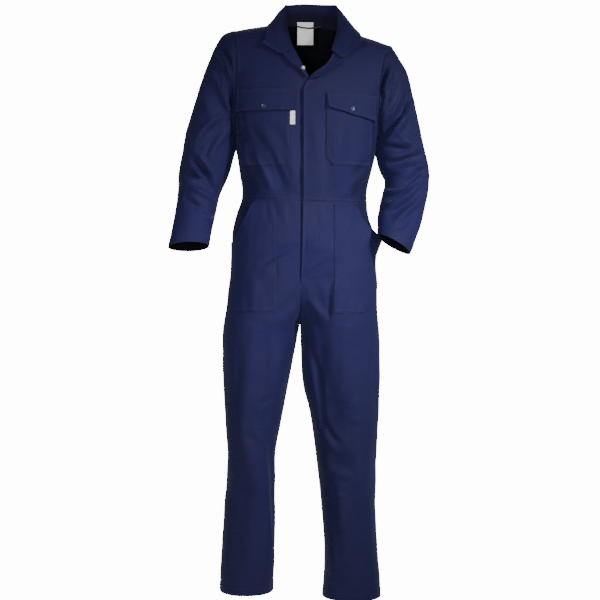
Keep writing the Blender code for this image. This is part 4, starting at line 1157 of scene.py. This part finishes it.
# What each patch lies on, its least height above that, its edges with two rows of stitches and with one,
# its loose edge, and how far that one gapes
PATCHES = {
    "chest_pocket_left": ("front_left", 1.3, ("left", "right", "bottom"), (), "top", 0),
    "chest_pocket_right": ("front_right", 1.3, ("left", "right", "bottom"), (), "top", 0),
    "placket": ("front_left", 1.2, (), ("left", "right"), "top", 0),
    "hip_pocket_left": ("trouser_front_left", 1.3, ("left", "bottom"), (), "top", 1.2),
    "hip_pocket_right": ("trouser_front_right", 1.3, ("right", "bottom"), (), "top", 2.5),
    "rule_pocket": ("trouser_back_right", 1.3, ("left", "right", "bottom"), (), "top", 1.5),
    "pocket_flap_left": ("front_left", 2.6, ("top",), ("left", "right", "bottom"), "bottom", 5.5),
    "pocket_flap_right": ("front_right", 2.6, ("top",), ("left", "right", "bottom"), "bottom", 5.5),
    "lapel_left": ("front_left", 1.4, (), ("right",), "right", 6.0),
    "lapel_right": ("front_right", 1.4, (), ("left",), "left", 7.0),
    "tab_label": ("front_right", 1.2, (), (), "bottom", 0),
    "neck_label": ("back_upper", 1.0, (), (), "bottom", 0),
    "hanger_loop": ("back_upper", 1.0, (), (), "bottom", 0),
}
SMALL = ("tab_label", "neck_label", "hanger_loop")
INSIDE = ("neck_label", "hanger_loop")
INNER_SHADED = ("chest_pocket_left", "chest_pocket_right", "rule_pocket")  # inside they get painted shade


def shape_patch(node, ground, least, doubles, singles, loose, gape):
    step = SMALL_STEP if node in SMALL else PATCH_STEP
    cloth = Cloth(*fine_points(node, step, -1 if node in INSIDE else 1))
    if node not in INSIDE:
        cloth.moved = Ground(ground).carry(cloth.base.reshape(-1, 3), least).reshape(cloth.base.shape)
    if node in SMALL:
        return cloth
    cloth.inner_shade = float(node in INNER_SHADED)
    height = PATCH_RUMPLE * rumple(cloth.base + RUMPLE_SHIFT)
    for edge in doubles:
        away = cloth.distance(edge)
        height += felled(away, rise=PATCH_RISE) + pucker(cloth.base, away, PATCH_PUCKER[0])
        height -= PRESSED[0] * np.exp(-away / PRESSED[1])
    for edge in singles:
        away = cloth.distance(edge)
        height += felled(away, PATCH_HEM, PATCH_RISE, (PATCH_ROW,))
        height += pucker(cloth.base, away, PATCH_PUCKER[1])
    height += gape * np.exp(-cloth.distance(loose) / GAPE_REACH)
    if "flap" in node:
        height -= ROLLED[0] * np.exp(-cloth.distance(loose) / ROLLED[1])
    cloth.raise_by(height)
    return cloth


for node, facts in PATCHES.items():
    cloths[node] = shape_patch(node, *facts)
    rows, columns = cloths[node].base.shape[:2]
    print(f"{node}: {rows} rows of {columns}")

# %% Behind the mouths of the hip pockets the cloth gets painted shadow
MOUTH_SOFT = 12.0
for side in LEG_SIDES:
    panel, mouth = cloths["trouser_front_" + side], cloths["hip_pocket_" + side].base[0]
    mouth = mouth[np.argsort(mouth[:, 0])]
    above = panel.base[..., 2] - np.interp(panel.base[..., 0], mouth[:, 0], mouth[:, 2])
    panel.covered = np.maximum(panel.covered, rising(above, 0, MOUTH_SOFT))
    print("mouth on the", side, "from", mouth[0].round().tolist(), "to", mouth[-1].round().tolist())

# %% [markdown]
# ## From surface to cloth
#
# Each surface becomes a thin closed wall, as cloth is: an outer layer, an inner layer and a rim. The rim
# keeps sharp corners, so that a cut edge doesn't shade like a bead. Solidify could do this, but here the
# inner layer turns away from the edges that are sewn, and each layer gets its own share of painted shade.


# %% Faces of a wall
def layer_faces(cloth):
    """The outer layer's faces, by their points and by their UV places."""
    rows, columns = cloth.base.shape[:2]
    r, c = [part.ravel() for part in np.mgrid[0 : rows - 1, 0 : columns if cloth.ring else columns - 1]]
    around = ((r, c), (r + 1, c), (r + 1, c + 1), (r, c + 1))
    points = np.stack([row * columns + column % columns for row, column in around], axis=1)
    return points, np.stack([row * cloth.uv.shape[1] + column for row, column in around], axis=1)


def rim_faces(cloth):
    """The faces that join the two layers along each edge, by their points and by their UV places."""
    rows, columns = cloth.base.shape[:2]
    spans = columns if cloth.ring else columns - 1
    edges = [([0] * (spans + 1), range(spans + 1), 1), ([rows - 1] * (spans + 1), range(spans + 1), -1)]
    if not cloth.ring:
        edges += [(range(rows), [0] * rows, -1), (range(rows), [columns - 1] * rows, 1)]
    for r, c, turn in edges:
        r, c = np.array(r), np.array(c)
        line, place = r * columns + c % columns, r * cloth.uv.shape[1] + c
        inner = line + rows * columns
        points = np.stack([line[:-1], line[1:], inner[1:], inner[:-1]], axis=1)
        places = np.stack([place[:-1], place[1:], place[1:], place[:-1]], axis=1)
        yield points[:, ::turn], places[:, ::turn]


print("a wall has two layers, and a rim along each edge")

# %% A closed wall
CLOTH_MM = 1.0
RIM_ANGLE = math.radians(55)
FAR_MM = 1000


def point_values(mesh, name, values):
    """Give each point of a mesh a number that its material can read."""
    mesh.attributes.new(name, "FLOAT", "POINT").data.foreach_set("value", values.astype(np.float32))


def wall_mesh(name, cloth, thickness):
    inner = cloth.moved - cloth.normals() * (thickness + cloth.turned)[..., None]
    points = np.concatenate([cloth.moved.reshape(-1, 3), inner.reshape(-1, 3)])
    size = len(points) // 2
    outer, places = layer_faces(cloth)
    rim = list(rim_faces(cloth))
    faces = np.concatenate([outer, outer[:, ::-1] + size, *(face for face, _ in rim)])
    corners = np.concatenate([places, places[:, ::-1], *(place for _, place in rim)])
    mesh = bpy.data.meshes.new(name)
    mesh.from_pydata((points * MM).tolist(), [], faces.tolist())
    weave = mesh.uv_layers.new(name="weave")
    weave.data.foreach_set("uv", cloth.uv.reshape(-1, 2)[corners.ravel()].astype(np.float32).ravel())
    near = np.minimum(cloth.distance("top", "bottom", "left", "right").ravel(), FAR_MM)
    point_values(mesh, "edge_mm", np.tile(near, 2))
    point_values(mesh, "shaded_inside", np.append(cloth.shade, np.full(size, cloth.inner_shade)))
    point_values(mesh, "covered", np.tile(cloth.covered.ravel(), 2))
    mesh.shade_smooth()
    mesh.set_sharp_from_angle(angle=RIM_ANGLE)
    return mesh


print("cloth is", CLOTH_MM, "mm thick")

# %% Place the walls
THICKNESS = {"neck_label": 0.5, "tab_label": 0.5, "hanger_loop": 0.8, "collar": 1.3}
SLOTS = {"neck_label": "label_white", "tab_label": "label_white", "hanger_loop": "loop_black"}
FINISH = {"neck_label": LABEL_WHITE, "tab_label": LABEL_WHITE, "hanger_loop": LOOP_BLACK}


def place_piece(name, mesh, material, slot, *nodes):
    piece = bpy.data.objects.new(name, mesh)
    bpy.context.scene.collection.objects.link(piece)
    mesh.materials.clear()
    mesh.materials.append(material)
    if nodes:
        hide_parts(*nodes)
    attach(piece, "root")
    return piece


pieces = {}
for node, cloth in cloths.items():
    name = node + "_cloth"
    mesh = wall_mesh(name, cloth, THICKNESS.get(node, CLOTH_MM))
    finish, slot = FINISH.get(node, NAVY_TWILL), SLOTS.get(node, "navy_twill")
    pieces[node] = place_piece(name, mesh, finish, slot, node)
print("walls:", len(pieces), "quads:", sum(len(piece.data.polygons) for piece in pieces.values()))

# %% [markdown]
# ## Allowances behind the seams
#
# Two panels meet at a seam with a hair's breadth between them. Where two seams are in line, light would
# shine through both. In a real leg it can't, because the allowances of the seam are pressed open behind
# it. So each seam of the legs gets its strip of allowance, halfway between the two edges that it joins.

# %% Strips of allowances behind the seams of the legs
STRIP_HALF = 8.0  # the allowances are pressed open, this wide on each side of the seam
STRIP_DEEP = 1.4
STRIP_STEP = 8.0
STRIP_COLUMNS = 5
ABOVE_HEM = 2.0
SIDE_FROM = -470.0
INSIDE_FROM = -812.0
CROTCH_FROM, CROTCH_TO = -690.0, -801.5
CROTCH_DEEP = 3.0


def unit(vectors):
    return vectors / np.linalg.norm(vectors, axis=1, keepdims=True)


def between(first, second, top, bottom):
    """The line halfway between two edges that are sewn together, and the way out of the cloth there."""
    height = np.linspace(top, bottom, round((top - bottom) / STRIP_STEP))
    found = []
    for node, column in (first, second):
        edge, out = cloths[node].moved[:, column], cloths[node].normals()[:, column]
        numbers = np.concatenate([edge, out], axis=1).T
        found.append([np.interp(-height, -edge[:, 2], number) for number in numbers])
    mean = np.mean(found, axis=0)
    return mean[:3].T, mean[3:].T


def strip_behind(name, line, out, deep):
    """A narrow piece of cloth on the inside, along a seam."""
    out = unit(out)
    across = unit(np.cross(out, np.gradient(line, axis=0)))
    aside = np.linspace(-STRIP_HALF, STRIP_HALF, STRIP_COLUMNS)[None, :, None]
    strip = Cloth((line - deep * out)[:, None] + across[:, None] * aside)
    pieces[name] = place_piece(name, wall_mesh(name, strip, CLOTH_MM), NAVY_TWILL, "navy_twill")
    print(f"{name}: {len(line)} rows")


COLUMN = {"left": 0, "right": -1}
for side, (outside, inside) in LEG_SIDES.items():
    front, back = "trouser_front_" + side, "trouser_back_" + side
    outer = (front, COLUMN[outside]), (back, COLUMN[inside])
    inner = (front, COLUMN[inside]), (back, COLUMN[outside])
    hem = cloths[front].moved[-1, :, 2].max() + ABOVE_HEM
    strip_behind(f"side_allowance_{side}", *between(*outer, SIDE_FROM, hem), STRIP_DEEP)
    strip_behind(f"leg_allowance_{side}", *between(*inner, INSIDE_FROM, hem), STRIP_DEEP)

# %% And behind the seam of the crotch
ahead, _ = between(("trouser_front_left", 0), ("trouser_front_right", -1), CROTCH_FROM, CROTCH_TO)
behind, _ = between(("trouser_back_left", -1), ("trouser_back_right", 0), CROTCH_FROM, CROTCH_TO)
seam = np.concatenate([ahead, behind[::-1]])
way = np.gradient(seam, axis=0)
strip_behind("crotch_allowance", seam, np.stack([0 * way[:, 0], way[:, 2], -way[:, 1]], axis=1), CROTCH_DEEP)

# %% [markdown]
# ## Press studs
#
# A ring-shaped cap with a raised rim and a sunk middle is what shows of a press stud when it is closed. A
# turned shape needs only its profile, so each cap is a profile swept round its own axis.

# %% The cap of a stud
STUD_TURN = 32
STUD_ANGLE = math.radians(60)
CAP_PROFILE = (  # (share of the radius, height in millimetres above the cloth)
    (0.0, 0.55), (0.22, 0.6), (0.42, 0.7), (0.52, 1.0), (0.6, 1.45), (0.7, 1.75), (0.8, 1.8), (0.9, 1.62),
    (0.97, 1.25), (1.0, 0.8), (1.0, 0.2), (0.94, -0.3), (0.5, -0.3), (0.0, -0.3),
)


def stud_mesh(name, centre, axis, radius):
    side = axis.orthogonal().normalized()
    up = axis.cross(side)
    points, quads = [], []
    ring = [(math.cos(a), math.sin(a)) for a in (2 * math.pi * k / STUD_TURN for k in range(STUD_TURN))]
    for share, height in CAP_PROFILE[1:-1]:
        points += [centre + axis * height + (side * x + up * y) * share * radius for x, y in ring]
    for row in range(len(CAP_PROFILE) - 3):
        for k in range(STUD_TURN):
            a, b = row * STUD_TURN + k, row * STUD_TURN + (k + 1) % STUD_TURN
            quads.append((a, a + STUD_TURN, b + STUD_TURN, b))
    top, bottom, last = len(points), len(points) + 1, len(points) - STUD_TURN
    points += [centre + axis * CAP_PROFILE[0][1], centre + axis * CAP_PROFILE[-1][1]]
    for k in range(STUD_TURN):
        quads += [(top, k, (k + 1) % STUD_TURN), (bottom, last + (k + 1) % STUD_TURN, last + k)]
    mesh = bpy.data.meshes.new(name)
    mesh.from_pydata([p * MM for p in points], [], quads)
    mesh.shade_smooth()
    mesh.set_sharp_from_angle(angle=STUD_ANGLE)
    return mesh


print("a cap has", STUD_TURN * (len(CAP_PROFILE) - 1), "faces")

# %% Press studs
STUDS = {  # stud: (what it is set in, its metal)
    "flap_stud_left": ("pocket_flap_left", STUD_METAL),
    "flap_stud_right": ("pocket_flap_right", STUD_METAL),
    "placket_stud": ("placket", DARK_METAL),
    "neck_stud": ("lapel_right", HIGHLIT_STUD_METAL),
}


def folded_tree(node):
    """The folded cloth itself, to find places on it."""
    return BVHTree.FromPolygons(cloths[node].moved.reshape(-1, 3).tolist(), cloths[node].quads().tolist())


for name, (under, finish) in STUDS.items():
    low, high = (Vector(corner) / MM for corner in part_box(name))
    place, normal, _, _ = folded_tree(under).find_nearest((low + high) / 2)
    radius = max(high - low) / 2
    mesh = stud_mesh(name + "_cap", place, normal, radius)
    pieces[name] = place_piece(name + "_cap", mesh, finish, "stud_metal", name)
    print(f"{name}: radius {radius:.1f} mm, faces {tuple(round(x, 2) for x in normal)}")

# %% [markdown]
# ## Stitches
#
# Topstitching is what makes workwear look like workwear. There are thousands of stitches, all alike, so they
# are a Geometry Nodes tree: it walks along each sewn line at a steady pitch and sets one small spindle of
# thread on each step, turned along the line. A spindle has only fifteen faces.

# %% The stitch tree
STITCH = (("Pitch", 0.0032), ("Length", 0.0026), ("Width", 0.0006))
SPINDLE = {"Segments": 5, "Rings": 3, "Radius": 0.5}
SPINDLE_FACES = SPINDLE["Segments"] * SPINDLE["Rings"]


def stitch_tree():
    sizes = [(label, "Float", value) for label, value in STITCH]
    inputs = [("Lines", "Geometry", None), *sizes, ("Thread", "Material", None)]
    tree, given, made = node_group("stitch rows", inputs, [("Stitches", "Geometry")], "GeometryNodeTree")
    given = given.outputs
    curve = put(tree, "GeometryNodeMeshToCurve", given["Lines"]).outputs[0]
    inputs = {"Curve": curve, "Length": given["Pitch"]}
    steps = put(tree, "GeometryNodeCurveToPoints", mode="LENGTH", inputs=inputs).outputs
    inputs = {"Vector": steps["Tangent"]}
    turn = put(tree, "FunctionNodeAlignRotationToVector", axis="X", inputs=inputs).outputs[0]
    spindle = put(tree, "GeometryNodeMeshUVSphere", inputs=SPINDLE).outputs[0]
    soft = put(tree, "GeometryNodeSetShadeSmooth", spindle).outputs[0]
    size = put(tree, "ShaderNodeCombineXYZ", given["Length"], given["Width"], given["Width"]).outputs[0]
    inputs = {"Points": steps["Points"], "Instance": soft, "Rotation": turn, "Scale": size}
    set_on = put(tree, "GeometryNodeInstanceOnPoints", inputs=inputs)
    real = put(tree, "GeometryNodeRealizeInstances", set_on.outputs[0])
    inputs = {"Geometry": real.outputs[0], "Material": given["Thread"]}
    feed(tree, made, {0: put(tree, "GeometryNodeSetMaterial", inputs=inputs).outputs[0]})
    return tree


STITCH_TREE = stitch_tree()
print("made tree:", STITCH_TREE.name)

# %% Lines beside an edge
THREAD_LIFT = 0.12


def edge_line(node, edge, distance):
    """The line at a distance from one edge of a panel, on its folded surface."""
    cloth = cloths[node]
    surface = cloth.moved + cloth.normals() * THREAD_LIFT
    away = getattr(cloth, edge)
    if edge in ("top", "bottom"):
        surface, away = surface.transpose(1, 0, 2), away.T
    line = []
    for points, walked in zip(surface, away):
        order = np.argsort(walked)
        line.append([np.interp(distance, walked[order], points[order, axis]) for axis in range(3)])
    line = np.array(line)
    return np.concatenate([line, line[:1]]) if cloth.ring and edge in ("top", "bottom") else line


def double(node, *edges):
    """The two rows of a felled seam, beside each edge."""
    return [edge_line(node, edge, row) for edge in edges for row in FELL_ROWS]


print("thread lies", THREAD_LIFT, "mm above the cloth")

# %% Lines drawn on the cloth
DRAW_STEP = 3.0
BEFORE = -1000.0  # well in front of the suit


def drawn_line(tree, corners):
    """A line through (x, z) places, dropped straight back onto the cloth."""
    corners = np.array(corners, float)
    walked = np.concatenate([[0], np.cumsum(np.linalg.norm(np.diff(corners, axis=0), axis=1))])
    at = np.linspace(0, walked[-1], max(2, round(walked[-1] / DRAW_STEP)))
    line = []
    for x, z in zip(*(np.interp(at, walked, corners[:, axis]) for axis in range(2))):
        place, normal, _, _ = tree.ray_cast(Vector((x, BEFORE, z)), Vector((0, 1, 0)))
        if place is not None:
            line.append(place + normal * (THREAD_LIFT if normal.y < 0 else -THREAD_LIFT))
    return np.array(line)


print("a drawn line has a point every", DRAW_STEP, "mm")


# %% Sewing
def sew(name, lines):
    """Set stitches along the lines and make them one piece."""
    points, edges = [], []
    for line in lines:
        edges += [(len(points) + k, len(points) + k + 1) for k in range(len(line) - 1)]
        points += line.tolist()
    mesh = bpy.data.meshes.new(name + "_lines")
    mesh.from_pydata((np.array(points) * MM).tolist(), edges, [])
    holder = bpy.data.objects.new(name + "_lines", mesh)
    bpy.context.scene.collection.objects.link(holder)
    tool = holder.modifiers.new("stitch rows", "NODES")
    tool.node_group = STITCH_TREE
    thread = next(item for item in STITCH_TREE.interface.items_tree if item.name == "Thread")
    tool[thread.identifier] = THREAD
    graph = bpy.context.evaluated_depsgraph_get()
    final = holder.evaluated_get(graph)
    stitched = bpy.data.meshes.new_from_object(final, preserve_all_data_layers=True, depsgraph=graph)
    bpy.data.objects.remove(holder)
    stitched.name = name
    pieces[name] = place_piece(name, stitched, THREAD, "navy_twill")
    print(f"{name}: {len(stitched.polygons) // SPINDLE_FACES} stitches")


# %% Sew the bodice
EDGE_ROW = 6.0
bodice = [edge_line("collar", edge, EDGE_ROW) for edge in ("bottom", "left", "right")]
bodice += [edge_line("lapel_left", "right", EDGE_ROW), edge_line("lapel_right", "left", EDGE_ROW)]
bodice += double("front_left", "right", "bottom") + double("front_right", "left", "bottom")
bodice += double("back_upper", "bottom")
bodice += [edge_line("placket", side, PATCH_ROW) for side in ("left", "right")]
for side in ("left", "right"):
    for edge in ("left", "right", "bottom"):
        bodice += double("chest_pocket_" + side, edge)
        bodice.append(edge_line("pocket_flap_" + side, edge, PATCH_ROW))
    bodice += double("pocket_flap_" + side, "top")
sew("bodice_stitching", bodice)

# %% Sew the trousers
FLY = [(81, -470), (83, -578), (80, -626), (51, -658), (8, -674)]
FLY_ROW = (-6.4, 1.5)  # from the fly's first row to its second
PLEATS = [[(15, -475), (15, -560)], [(37, -470), (37, -582)]]
trousers = []
for side, (outside, inside) in LEG_SIDES.items():
    front, back = "trouser_front_" + side, "trouser_back_" + side
    trousers += double(front, "top", outside) + double(back, "top")
    trousers += [edge_line(node, "bottom", HEM_ROW) for node in (front, back)]
    trousers += double("hip_pocket_" + side, inside, "bottom")
trousers += double("rule_pocket", "left", "right", "bottom")
fly_ground = folded_tree("trouser_front_left")
second_row = [(x + FLY_ROW[0], z + FLY_ROW[1]) for x, z in FLY]
trousers += [drawn_line(fly_ground, corners) for corners in (FLY, second_row, *PLEATS)]
sew("trouser_stitching", trousers)

# %% Sew the sleeves
sew("sleeve_stitching", [edge_line("sleeve_" + side, "bottom", HEM_ROW) for side in ("left", "right")])

# %% [markdown]
# ## What each piece of cloth was cut to
#
# Cloth neither stretches nor shrinks when it is sewn, so each piece still has the size that it was cut to.
# It is measured on the smooth panel: its longest row by its longest column, all the way round for a sleeve.


def area_of(points, quads):
    a, b, c, d = (points.reshape(-1, 3)[quads[:, k]] for k in range(4))
    return 0.5 * np.linalg.norm(np.cross(c - a, d - b), axis=1).sum() * MM * MM


RESTS = {node: facts[0] for node, facts in PATCHES.items()}
RESTS.update({"pocket_flap_" + side: "chest_pocket_" + side for side in ("left", "right")})
NO_SHEET = ("hanger_loop",)  # a tape is narrower than a sheet
for node, cloth in cloths.items():
    if node in NO_SHEET:
        continue
    area = min(area_of(cloth.base, cloth.quads()), cloth.cut[0] * cloth.cut[1])
    held, rests_on = ("laid", [pieces[RESTS[node]]]) if node in RESTS else ("hung", ())
    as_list(rests_on)
    print(f"{node}: cut {cloth.cut[0] / MM:.0f} x {cloth.cut[1] / MM:.0f} mm, {area * 1e4:.0f} cm2")
